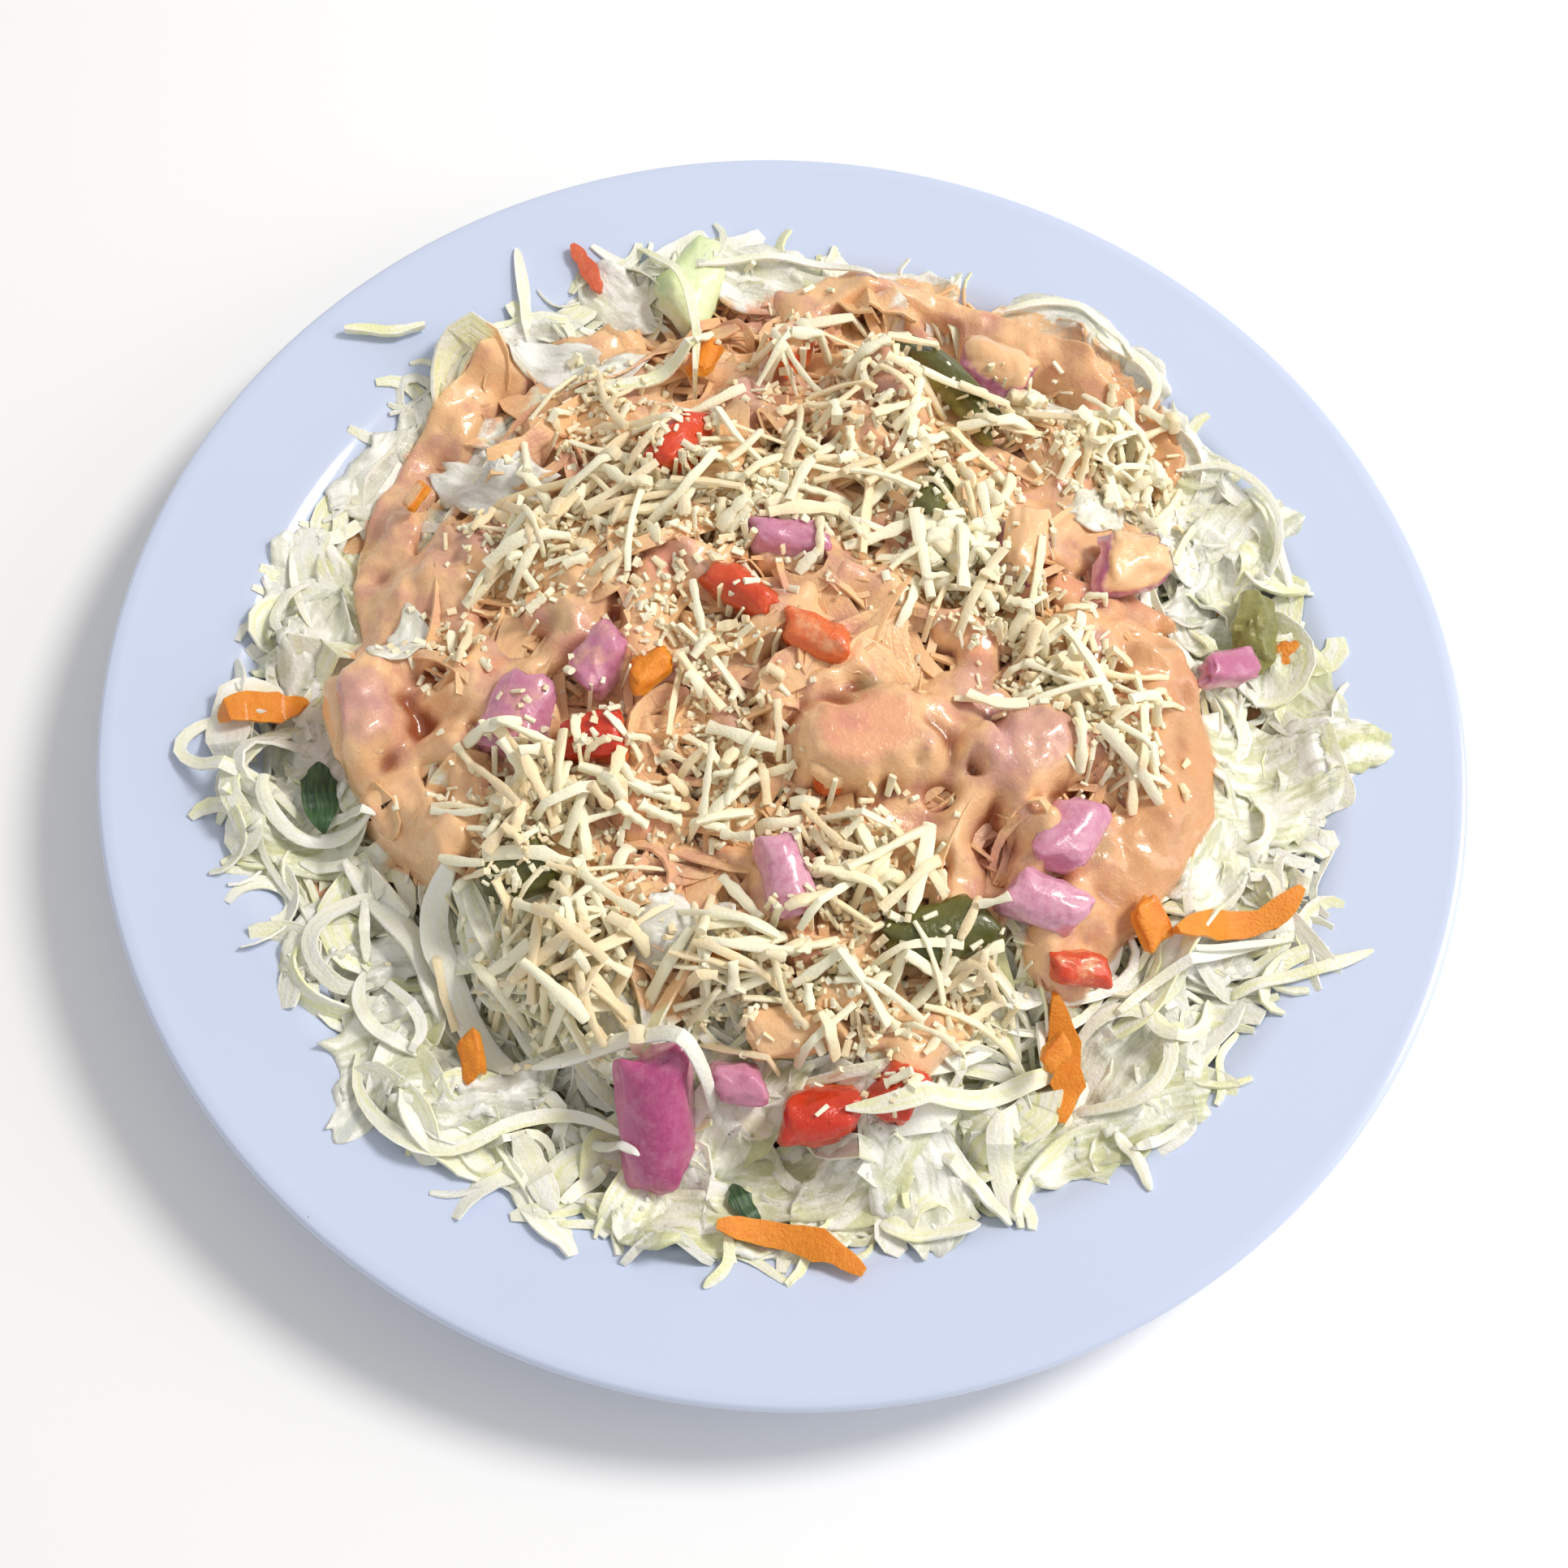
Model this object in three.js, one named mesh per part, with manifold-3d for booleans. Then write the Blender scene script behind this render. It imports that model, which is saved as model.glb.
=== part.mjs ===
// Coleslaw heaped on a round white plate: shredded cabbage and carrot under a pink dressing, with pieces
// of red onion, green pepper, tomato and carrot, herb leaves and grated cheese. Millimetres, +Z up, the
// origin where the plate's axis meets the table. -Y is the side nearest to whoever eats from it.
import * as THREE from "three";
import { mergeVertices } from "three/addons/utils/BufferGeometryUtils.js";
import Module from "manifold-3d";

const wasm = await Module();
wasm.setup();

// Plate
const PLATE_RADIUS = 125;
const PLATE_HEIGHT = 21;
const PLATE_SEGMENTS = 48;
const PLATE_WALL = 3;
const WELL_RADIUS = 86;
const WELL_FLOOR = 6;
const LIP_RADIUS = 105;
const LIP_HEIGHT = 18;
const WALL_STEPS = 4;
const RIM_EDGE_ROUND = 1.2;
const RIM_EDGE_UNDERCUT = 1.9;
const FOOT_INNER = 61;
const FOOT_OUTER = 68;
const FOOT_RECESS = 2.4;
const FOOT_CHAMFER = 1.2;

// Heap
const HEAP_RADIUS = 91;
const HEAP_SKIRT = 6;
const HEAP_HEIGHT = 31;
const HEAP_SHOULDER = 2.6;
const HEAP_CROWN = 0.75;
const HEAP_LUMP = 1.6;
const HEAP_RUFFLE = 0.9;
const HEAP_HEM = 0.8;
const HEAP_SEGMENTS = 34;
const HEAP_RINGS = 9;
const SLOPE_REACH = 6;

// Room kept between pieces that lie against each other
const GAP = 0.35;
const CORE_CLEAR = 0.1;
const SHRED_CLEAR = 0.15;

// Shreds and leaves
const EDGE_SHREDS = 54;
const TOP_SHREDS = 14;
const TOP_REACH = 66;
const SHRED_STEPS = 5;
const SHRED_THICKNESS = 1.1;
const COATED_THICKNESS = 1.4;
const LEAF_ACROSS = 3;
const LEAF_THICKNESS = 0.9;
const LEAF_TAPER = 0.8;

// Chunks
const CHUNK_SIDES = 8;
const CHUNK_RINGS = 4;
const CHUNK_SQUARENESS = 0.55;

// Grated cheese
const CHEESE_COUNT = 62;
const CHEESE_REACH = 74;
const CHEESE_WIDTH = 2.1;
const CHEESE_THICKNESS = 1.7;

// Strewing: how often a piece that hits another is drawn again, and the angle from each to the next
const TRIES = 8;
const GOLDEN_ANGLE = 180 * (3 - Math.sqrt(5));

const COLOURS = {
  plate: 0xe4e9f4,
  slaw: 0xe6dcc0,
  onion: 0xb46c9c,
  pepper: 0x5d6a24,
  tomato: 0xd43a1c,
  carrot: 0xf08a18,
  cabbage: 0xdbe6c2,
  herb: 0x2c4a26,
};
const GLOSS = {
  plate: 0.22,
  slaw: 0.5,
  onion: 0.3,
  pepper: 0.3,
  tomato: 0.25,
  carrot: 0.45,
  cabbage: 0.35,
  herb: 0.5,
};

const radians = THREE.MathUtils.degToRad;
const lerp = THREE.MathUtils.lerp;
const smooth = THREE.MathUtils.smoothstep;

// Seeded draws between two values, so that every build is the same.
function drawer(seed) {
  let state = seed;
  return (low, high) => {
    state = (Math.imul(state, 1664525) + 1013904223) >>> 0;
    return low + ((high - low) * state) / 4294967296;
  };
}

// Height of the plate's upper face at a distance from its axis: the floor, a wall that curves up in
// WALL_STEPS straight steps, then the wide rim.
function plateTop(radius) {
  if (radius >= LIP_RADIUS)
    return lerp(LIP_HEIGHT, PLATE_HEIGHT, (radius - LIP_RADIUS) / (PLATE_RADIUS - LIP_RADIUS));
  const step = Math.max(0, ((radius - WELL_RADIUS) / (LIP_RADIUS - WELL_RADIUS)) * WALL_STEPS);
  const height = (n) => lerp(WELL_FLOOR, LIP_HEIGHT, smooth(n, 0, WALL_STEPS));
  return lerp(height(Math.floor(step)), height(Math.floor(step) + 1), step % 1);
}

// Distance from the axis to the heap's edge in each direction.
function heapEdge(angle) {
  const wave = 0.022 * Math.cos(3 * angle + 0.6) + 0.016 * Math.cos(5 * angle + 2.1);
  return HEAP_RADIUS * (1 + wave + 0.012 * Math.cos(8 * angle + 4));
}

// Height of the heap: a flat-topped dome with lumps, which would run out a little beyond its edge.
function heapTop(x, y) {
  const share = Math.min(1, Math.hypot(x, y) / (heapEdge(Math.atan2(y, x)) + HEAP_SKIRT));
  const dome = Math.pow(1 - Math.pow(share, HEAP_SHOULDER), HEAP_CROWN);
  const lumps =
    Math.sin(x / 7.3 + 1.1) * Math.sin(y / 8.1 + 0.4) + 0.6 * Math.sin((x + y) / 5.2) * Math.sin((x - y) / 6.1);
  return WELL_FLOOR + 1 + HEAP_HEIGHT * dome + HEAP_LUMP * lumps * (1 - share * share);
}

// What a loose shred lies on at a point: the heap, or the plate beside it.
function ground(x, y) {
  const plate = plateTop(Math.hypot(x, y));
  const inside = Math.hypot(x, y) < heapEdge(Math.atan2(y, x));
  return inside ? Math.max(heapTop(x, y), plate) : plate;
}

// Axes of a piece that lies on the heap's slope: along it, across it, and out of the heap.
function slopeAxes(x, y, turn) {
  const rise = new THREE.Vector3(
    ground(x - SLOPE_REACH, y) - ground(x + SLOPE_REACH, y),
    ground(x, y - SLOPE_REACH) - ground(x, y + SLOPE_REACH),
    2 * SLOPE_REACH,
  ).normalize();
  const along = new THREE.Vector3(Math.cos(radians(turn)), Math.sin(radians(turn)), 0);
  along.addScaledVector(rise, -along.dot(rise)).normalize();
  return { along, across: rise.clone().cross(along), rise };
}

// Closed thin solid over a grid of points: at(u, v, side) gives a point of the lower face, side 0, or of
// the upper face, side 1. Both faces are split into triangles alike, so a wavy leaf keeps its thickness.
function sheetSolid(stepsU, stepsV, at) {
  const points = [];
  const triangles = [];
  const index = (i, j, side) => (side * (stepsU + 1) + i) * (stepsV + 1) + j;
  for (const side of [0, 1])
    for (let i = 0; i <= stepsU; i++)
      for (let j = 0; j <= stepsV; j++) points.push(...at(i / stepsU, j / stepsV, side));
  const corners = (i, j, side) =>
    [index(i, j, side), index(i + 1, j, side), index(i + 1, j + 1, side), index(i, j + 1, side)];
  for (let i = 0; i < stepsU; i++)
    for (let j = 0; j < stepsV; j++) {
      const [a, b, c, d] = corners(i, j, 1);
      triangles.push(a, b, c, a, c, d);
      const [e, f, g, h] = corners(i, j, 0);
      triangles.push(e, g, f, e, h, g);
    }
  const wall = (p, q) => triangles.push(p[1], p[0], q[0], p[1], q[0], q[1]);
  const pair = (i, j) => [index(i, j, 0), index(i, j, 1)];
  for (let i = 0; i < stepsU; i++) {
    wall(pair(i, 0), pair(i + 1, 0));
    wall(pair(i + 1, stepsV), pair(i, stepsV));
  }
  for (let j = 0; j < stepsV; j++) {
    wall(pair(stepsU, j), pair(stepsU, j + 1));
    wall(pair(0, j + 1), pair(0, j));
  }
  const geometry = new THREE.BufferGeometry();
  geometry.setAttribute("position", new THREE.Float32BufferAttribute(points, 3));
  geometry.setIndex(triangles);
  return geometry;
}

// A shred or a leaf: a thin strip whose middle line bends by `bend` and wavers by `curl` as it goes. It
// lies on what is under it, spans the hollows stiffly, rises by `arch` in its middle, and sinks into the
// heap by `dip` at its start. Its ends narrow by `taper`, and a leaf is also rippled and folded up on both
// sides of its rib. `grow` widens it all round, for the room that it takes.
function strip(piece) {
  const { heading, length, width, bend = 0, curl = 0, arch = 0, dip = 0, grow = 0, ripple = 0, fold = 0 } = piece;
  const { steps = SHRED_STEPS, across = 1, thickness = SHRED_THICKNESS, taper = 0.5, power = 4 } = piece;
  const support = (x, y, angle) => {
    const [ax, ay] = [(-Math.sin(angle) * width) / 2, (Math.cos(angle) * width) / 2];
    return Math.max(ground(x, y), ground(x + ax, y + ay), ground(x - ax, y - ay)) + GAP + SHRED_CLEAR;
  };
  const middle = [];
  let [x, y, angle] = [piece.x, piece.y, radians(heading)];
  for (let i = 0; i <= steps; i++) {
    middle.push({ x, y, angle, height: support(x, y, angle) });
    angle += radians(bend / steps) + (radians(curl) * (i - steps / 2)) / steps;
    x += (Math.cos(angle) * length) / steps;
    y += (Math.sin(angle) * length) / steps;
  }
  for (let i = 0; i < steps; i++)
    for (const t of [0.25, 0.5, 0.75]) {
      const [p, q] = [middle[i], middle[i + 1]];
      const between = support(lerp(p.x, q.x, t), lerp(p.y, q.y, t), lerp(p.angle, q.angle, t));
      const short = Math.max(0, between - lerp(p.height, q.height, t));
      p.height += short;
      q.height += short;
    }
  return sheetSolid(steps, across, (u, v, side) => {
    const point = middle[Math.round(u * steps)];
    const half = (width / 2) * (1 - taper * Math.pow(Math.abs(2 * u - 1), power)) + grow;
    const aside = (2 * v - 1) * half;
    const past = grow * (2 * u - 1);
    const sunk = dip * Math.pow(1 - u, 3);
    const wave = ripple * (1 + Math.sin(7 * u + 4 * v)) * Math.abs(2 * v - 1) + fold * Math.pow(2 * v - 1, 2);
    return [
      point.x - Math.sin(point.angle) * aside + Math.cos(point.angle) * past,
      point.y + Math.cos(point.angle) * aside + Math.sin(point.angle) * past,
      point.height + arch * Math.sin(Math.PI * u) - sunk + wave + side * thickness + grow * (2 * side - 1),
    ];
  });
}

// A leaf: a wide strip, narrow at both ends.
function leaf(piece) {
  return strip({ across: LEAF_ACROSS, thickness: LEAF_THICKNESS, taper: LEAF_TAPER, power: 2, ...piece });
}

// A chunk cut from a round vegetable: a rounded block, arched along its length by `bow` and across it by
// `roof`. `grow` widens it all round, for the room that it takes.
function chunk({ size, bow = 0, roof = 0, grow = 0 }) {
  const geometry = new THREE.SphereGeometry(1, CHUNK_SIDES, CHUNK_RINGS).rotateX(Math.PI / 2);
  const position = geometry.attributes.position;
  const point = new THREE.Vector3();
  for (let i = 0; i < position.count; i++) {
    point.fromBufferAttribute(position, i);
    const [a, b, c] = point.toArray().map((t) => Math.sign(t) * Math.pow(Math.abs(t), CHUNK_SQUARENESS));
    const lift = bow * (0.5 - a * a) + roof * (0.5 - b * b);
    position.setXYZ(i, a * (size[0] / 2 + grow), b * (size[1] / 2 + grow), c * (size[2] / 2 + grow) + lift);
  }
  return geometry;
}

// The plain block that a chunk just fits into, with the gap all round, which is cut out of the heap.
function pocket({ size, bow = 0, roof = 0 }) {
  return new THREE.BoxGeometry(size[0] + 2 * GAP, size[1] + 2 * GAP, size[2] + bow + roof + 2 * GAP);
}

// Puts a geometry on the slope at x, y: turned about the upright, tipped about its length, and with its
// middle `rise` above what is there.
function lay(geometry, { x, y, turn = 0, tip = 0, pitch = 0, rise = 0 }) {
  const { along, across, rise: out } = slopeAxes(x, y, turn);
  const place = new THREE.Matrix4().makeBasis(along, across, out);
  place.setPosition(new THREE.Vector3(x, y, ground(x, y)).addScaledVector(out, rise));
  const tilt = new THREE.Matrix4().makeRotationFromEuler(new THREE.Euler(radians(tip), radians(-pitch), 0));
  return geometry.applyMatrix4(place.multiply(tilt));
}

// A geometry as a manifold solid, and back.
function solid(geometry) {
  const bare = geometry.clone();
  for (const name of Object.keys(bare.attributes)) if (name !== "position") bare.deleteAttribute(name);
  const merged = mergeVertices(bare, 1e-4);
  const vertProperties = merged.attributes.position.array;
  const triVerts = new Uint32Array(merged.index.array);
  return new wasm.Manifold(new wasm.Mesh({ numProp: 3, vertProperties, triVerts }));
}

function geometryOf(body) {
  const mesh = body.getMesh();
  const geometry = new THREE.BufferGeometry();
  geometry.setAttribute("position", new THREE.BufferAttribute(new Float32Array(mesh.vertProperties), 3));
  geometry.setIndex(new THREE.BufferAttribute(new Uint32Array(mesh.triVerts), 1));
  return geometry;
}

// The largest body of a solid: loose scraps and sealed hollows fall away.
function largest(body) {
  return body.decompose().reduce((best, one) => (one.volume() > best.volume() ? one : best));
}

const group = new THREE.Group();
group.name = "coleslaw";

function addNode(name, kind, geometry) {
  const material = new THREE.MeshStandardMaterial({ color: COLOURS[kind], roughness: GLOSS[kind], metalness: 0 });
  const mesh = new THREE.Mesh(geometry, material);
  mesh.name = name;
  group.add(mesh);
}

function plateGeometry() {
  const wallRadii = (steps) =>
    Array.from({ length: steps + 1 }, (_, i) => lerp(LIP_RADIUS, WELL_RADIUS, i / steps));
  const under = (r) => plateTop(r) - PLATE_WALL;
  const profile = [
    [0, FOOT_RECESS],
    [FOOT_INNER, FOOT_RECESS],
    [FOOT_INNER + FOOT_CHAMFER, 0],
    [FOOT_OUTER - FOOT_CHAMFER, 0],
    [FOOT_OUTER, FOOT_RECESS],
    ...wallRadii(WALL_STEPS / 2).reverse().map((r) => [r, under(r)]),
    [PLATE_RADIUS - RIM_EDGE_ROUND, under(PLATE_RADIUS - RIM_EDGE_ROUND)],
    [PLATE_RADIUS, PLATE_HEIGHT - RIM_EDGE_UNDERCUT],
    [PLATE_RADIUS, PLATE_HEIGHT - RIM_EDGE_ROUND],
    [PLATE_RADIUS - RIM_EDGE_ROUND, PLATE_HEIGHT],
    ...wallRadii(WALL_STEPS).map((r) => [r, plateTop(r)]),
    [0, WELL_FLOOR],
  ].map(([r, z]) => new THREE.Vector2(r, z));
  return new THREE.LatheGeometry(profile, PLATE_SEGMENTS).rotateX(Math.PI / 2);
}

// The heap without its shreds: a lathe of radius 1, flat below and closely ringed towards its edge above,
// whose points are pushed out to the heap's edge, and down to the plate or up to the heap's top.
function heapCore() {
  const upper = Array.from({ length: HEAP_RINGS }, (_, i) => 1 - Math.pow((i + 1) / HEAP_RINGS, 1.35));
  const profile = [
    ...[0, 0.5, 0.85, 0.96].map((share) => [share, 0]),
    [1, 0.5],
    ...upper.map((share) => [share, 1]),
  ].map(([r, z]) => new THREE.Vector2(r, z));
  const geometry = new THREE.LatheGeometry(profile, HEAP_SEGMENTS).rotateX(Math.PI / 2);
  const position = geometry.attributes.position;
  for (let i = 0; i < position.count; i++) {
    const angle = Math.atan2(position.getY(i), position.getX(i));
    const radius = Math.hypot(position.getX(i), position.getY(i)) * heapEdge(angle);
    const [x, y] = [radius * Math.cos(angle), radius * Math.sin(angle)];
    const floor = plateTop(radius) + GAP + CORE_CLEAR;
    const ruffle = HEAP_RUFFLE * Math.sin(x * 1.7 + y * 0.6) * Math.sin(y * 1.3 - x * 0.4);
    const upper = position.getZ(i) > 0.75;
    const height = upper ? Math.max(heapTop(x, y) + ruffle, floor + HEAP_HEM) : floor + position.getZ(i);
    position.setXYZ(i, x, y, height);
  }
  return geometry;
}

// Pieces that lie on the heap, as seen on the plate: where each lies, which way it is turned, its length,
// width and thickness, and how its middle stands above the heap.
const ONIONS = [
  { x: -15, y: -79, turn: 96, size: [24, 12.5, 8], roof: 3, rise: 2.6, pitch: 8 },
  { x: 59, y: 31, turn: 20, size: [14, 12, 7], roof: 2, rise: 2.4, tip: 14 },
  { x: 49, y: -26, turn: 65, size: [12, 9.5, 7], roof: 2, rise: 2.6 },
  { x: 46, y: -39, turn: -15, size: [13, 8.5, 7], roof: 2, rise: 2.8 },
  { x: -47, y: -15, turn: 75, size: [15, 11, 6], roof: 2, rise: 1.6 },
  { x: -75, y: -15, turn: 110, size: [17, 12, 7], roof: 3, rise: 1.8 },
  { x: -34, y: -3, turn: 60, size: [11, 8, 7], roof: 2, rise: 2 },
  { x: -4, y: 24, turn: 5, size: [13, 6.5, 6], roof: 1, rise: 1.8 },
  { x: 11, y: 63, turn: 110, size: [15, 8, 8], roof: 2, rise: 2.2 },
  { x: 32, y: 75, turn: 150, size: [15, 12, 8], roof: 3, rise: 2 },
  { x: 38, y: 28, turn: 80, size: [15, 8, 9], roof: 2, rise: 2.2 },
  { x: 2, y: -40, turn: 115, size: [14, 8, 6], roof: 2, rise: 1.6 },
  { x: -2, y: -73, turn: 10, size: [8, 7, 6], roof: 1, rise: 1.8 },
  { x: 78, y: 15, turn: 25, size: [12, 6, 5], roof: 1, rise: 2.2 },
  { x: 41, y: -12, turn: 35, size: [17, 13, 8], roof: 3, rise: 1.4 },
];
const PEPPERS = [
  { x: 22, y: 68, turn: -50, size: [31, 5.5, 6], bow: 3, rise: 1.8 },
  { x: 84, y: 27, turn: 60, size: [14, 10, 6], bow: 2, rise: 2.2, tip: 20 },
  { x: 29, y: -45, turn: 25, size: [17, 10, 5], roof: 2, rise: 1.8 },
  { x: 14, y: -57, turn: 10, size: [10, 6, 5], roof: 1, rise: 1.4 },
  { x: 5, y: -64, turn: 15, size: [14, 9, 5], roof: 2, rise: 2 },
  { x: -43, y: -42, turn: 30, size: [12, 10, 6], roof: 2, rise: 1.2 },
  { x: 22, y: 37, turn: 70, size: [12, 6, 5], roof: 1, rise: 1.2 },
];
const TOMATOES = [
  { x: -26, y: 42, turn: 75, size: [14, 8.5, 7], roof: 2, rise: 2 },
  { x: -10, y: 12, turn: -35, size: [14, 7, 6], roof: 2, rise: 2 },
  { x: 3, y: 4, turn: -15, size: [12, 7, 6], roof: 2, rise: 2 },
  { x: 12, y: -76, turn: 15, size: [13, 9, 8], roof: 3, rise: 2.4 },
  { x: 24, y: -71, turn: 70, size: [10, 8, 8], roof: 2, rise: 2.2 },
  { x: -33, y: -18, turn: 10, size: [11, 8, 6], roof: 1, rise: 1.2 },
  { x: 13, y: -14, turn: 20, size: [18, 14, 9], roof: 3, rise: 1.6 },
  { x: 53, y: -47, turn: 0, size: [10, 6, 5], roof: 1, rise: 1.6 },
  { x: -8, y: 71, turn: 60, size: [9, 8, 7], roof: 1, rise: 2 },
];
const CARROTS = [
  { x: 65, y: -37, turn: -50, size: [8, 6, 3], rise: 2 },
  { x: -25, y: -5, turn: 40, size: [8, 6, 4], roof: 1, rise: 1.8 },
  { x: -24, y: 67, turn: 80, size: [9, 5, 3], roof: 1, rise: 1.6 },
];
const CARROT_STRIPS = [
  { x: -92, y: -12, heading: 194, length: 15, width: 6.5, bend: 25, thickness: 2.2 },
  { x: 4, y: -97, heading: -2, length: 27, width: 5, bend: -22, curl: 30, thickness: 2 },
  { x: 76, y: -34, heading: 3, length: 23, width: 4.6, bend: 18, curl: -25, thickness: 2 },
  { x: 54, y: -57, heading: -96, length: 18, width: 5, bend: 25, curl: 20, thickness: 1.8 },
  { x: -47, y: 87, heading: 118, length: 11, width: 3, bend: 15, thickness: 1.6 },
];
const LEAVES = [
  { x: -29, y: 80, heading: 108, length: 22, width: 13, fold: 2, ripple: 0.8, dip: 2.5, arch: 2 },
  { x: 83, y: 5, heading: 4, length: 25, width: 11, fold: 1.5, ripple: 0.6, dip: 2.5, arch: 1 },
  { x: 27, y: -75, heading: -62, length: 25, width: 15, fold: 1.5, ripple: 0.7, dip: 2.5 },
  { x: 43, y: -73, heading: -78, length: 21, width: 9, fold: 1.5, ripple: 0.5, dip: 2.5, arch: 1 },
  { x: -72, y: 41, heading: 25, length: 26, width: 17, fold: 1, ripple: 0.8, dip: 2.5, arch: 1 },
  { x: -15, y: -50, heading: 20, length: 18, width: 12, fold: 1, ripple: 0.7, dip: 2.5 },
  { x: 40, y: 80, heading: 52, length: 24, width: 12, fold: 1, ripple: 0.8, dip: 2.5, arch: 1 },
];
const HERBS = [
  { x: -82, y: -27, heading: 105, length: 15, width: 6.5, thickness: 0.7, ripple: 0.3, fold: 0.5 },
  { x: 1, y: -92, heading: 135, length: 9, width: 4.5, thickness: 0.7, ripple: 0.2, fold: 0.4 },
];

// A long shred that reaches out over the plate, as on the heap's left, top and right.
const REACHING_SHREDS = [
  { x: -78, y: -38, heading: 158, length: 52, width: 3, bend: -175, curl: -30, dip: 2.5, steps: 9 },
  { x: -50, y: 66, heading: 122, length: 30, width: 2.6, bend: -30, dip: 2.5 },
  { x: 68, y: -44, heading: -4, length: 40, width: 2.6, bend: 28, dip: 2.5 },
  { x: -79, y: 8, heading: 160, length: 24, width: 2.8, bend: -62, dip: 2.5 },
  { x: -26, y: -76, heading: -62, length: 30, width: 3.4, bend: -50, dip: 2.5 },
  { x: 62, y: -54, heading: -48, length: 28, width: 3, bend: 20, dip: 2.5 },
];
const STRAY_SHREDS = [{ x: -91, y: 72, heading: 8, length: 14.5, width: 2.6, bend: 34, thickness: 1.7, steps: 6 }];

// The shreds of cabbage round the heap: each starts inside it, leans to one side and runs out or along it.
function edgeShred(i, draw) {
  const angle = (i * 360) / EDGE_SHREDS + draw(-3, 3);
  const start = HEAP_RADIUS * draw(0.76, 0.93);
  const side = draw(0, 1) < 0.5 ? -1 : 1;
  const spread = draw(25, 88);
  return strip({
    x: start * Math.cos(radians(angle)),
    y: start * Math.sin(radians(angle)),
    heading: angle + side * spread,
    length: lerp(18, 44, spread / 88) * draw(0.75, 1.15),
    width: draw(2.4, 4.6),
    bend: side * draw(20, 75),
    curl: draw(-40, 40),
    arch: draw(0, 4.5),
    dip: draw(1.8, 2.6),
  });
}

// The coated shreds on the top: longer, and half sunk in the heap all along.
function topShred(i, draw) {
  const radius = TOP_REACH * Math.sqrt((i + 0.5) / TOP_SHREDS);
  const angle = radians(i * GOLDEN_ANGLE + 40);
  return strip({
    x: radius * Math.cos(angle),
    y: radius * Math.sin(angle),
    heading: draw(0, 360),
    length: draw(18, 34),
    width: draw(3, 5),
    bend: draw(-70, 70),
    curl: draw(-30, 30),
    arch: draw(0.5, 2.5),
    dip: draw(1.8, 2.4),
    thickness: COATED_THICKNESS,
  });
}

// Grated cheese: short sticks strewn evenly over the top, half sunk in the heap.
function cheeseStick(i, draw) {
  const radius = CHEESE_REACH * Math.sqrt((i + 0.5) / CHEESE_COUNT);
  const angle = radians(i * GOLDEN_ANGLE);
  const length = draw(7, 17);
  const stick = sheetSolid(1, 1, (u, v, side) => [
    (u - 0.5) * length,
    (v - 0.5) * CHEESE_WIDTH * (1 - 0.25 * u),
    (side - 0.5) * CHEESE_THICKNESS * (1 - 0.2 * u),
  ]);
  return lay(stick, {
    x: radius * Math.cos(angle),
    y: radius * Math.sin(angle),
    turn: draw(0, 360),
    pitch: draw(-9, 9),
    rise: draw(0.3, 0.8),
  });
}

// Draws `count` pieces, each again and again until it crosses nothing that is `taken`, or skips it.
function strewn(count, make, seed, taken) {
  const draw = drawer(seed);
  const pieces = [];
  for (let i = 0; i < count; i++)
    for (let tries = 0; tries < TRIES; tries++) {
      const piece = solid(make(i, draw));
      if (!piece.intersect(taken).isEmpty()) continue;
      pieces.push(piece);
      break;
    }
  return pieces;
}

const plate = plateGeometry();
addNode("plate", "plate", plate);

// Each loose piece is a node of its own. The heap gets a pocket where one sinks into it, and the room that
// one takes, with its gap, is kept free of shreds.
const pockets = [];
const rooms = [solid(plate)];
function addPieces(name, kind, pieces, shape, hollow) {
  pieces.forEach((piece, i) => {
    addNode(`${name}_${i + 1}`, kind, shape(piece));
    pockets.push(solid(hollow(piece)));
    rooms.push(solid(shape({ ...piece, grow: GAP })));
  });
}
const laidChunk = (piece) => lay(chunk(piece), piece);
const laidPocket = (piece) => lay(pocket(piece), piece);
const grownStrip = (piece) => strip({ ...piece, grow: GAP });
const grownLeaf = (piece) => leaf({ ...piece, grow: GAP });

addPieces("onion", "onion", ONIONS, laidChunk, laidPocket);
addPieces("green_pepper", "pepper", PEPPERS, laidChunk, laidPocket);
addPieces("tomato", "tomato", TOMATOES, laidChunk, laidPocket);
addPieces("carrot", "carrot", CARROTS, laidChunk, laidPocket);
addPieces("carrot_strip", "carrot", CARROT_STRIPS, strip, grownStrip);
addPieces("herb_leaf", "herb", HERBS, leaf, grownLeaf);
addPieces("stray_shred", "cabbage", STRAY_SHREDS, strip, grownStrip);

// The heap: its core with the pockets cut out, and the shreds, leaves and cheese that cross neither a
// loose piece nor the plate.
const taken = wasm.Manifold.union(rooms);
const core = solid(heapCore()).subtract(wasm.Manifold.union(pockets));
const chosen = [...REACHING_SHREDS.map(strip), ...LEAVES.map(leaf)].map(solid);
const fused = [
  ...chosen.filter((piece) => piece.intersect(taken).isEmpty()),
  ...strewn(EDGE_SHREDS, edgeShred, 41, taken),
  ...strewn(TOP_SHREDS, topShred, 23, taken),
  ...strewn(CHEESE_COUNT, cheeseStick, 7, taken),
];
const slaw = largest(wasm.Manifold.union([core, ...fused]));
addNode("slaw", "slaw", geometryOf(slaw));

export default group;
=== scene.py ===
import math

import bpy
import numpy as np
from mathutils import Matrix, Vector


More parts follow.
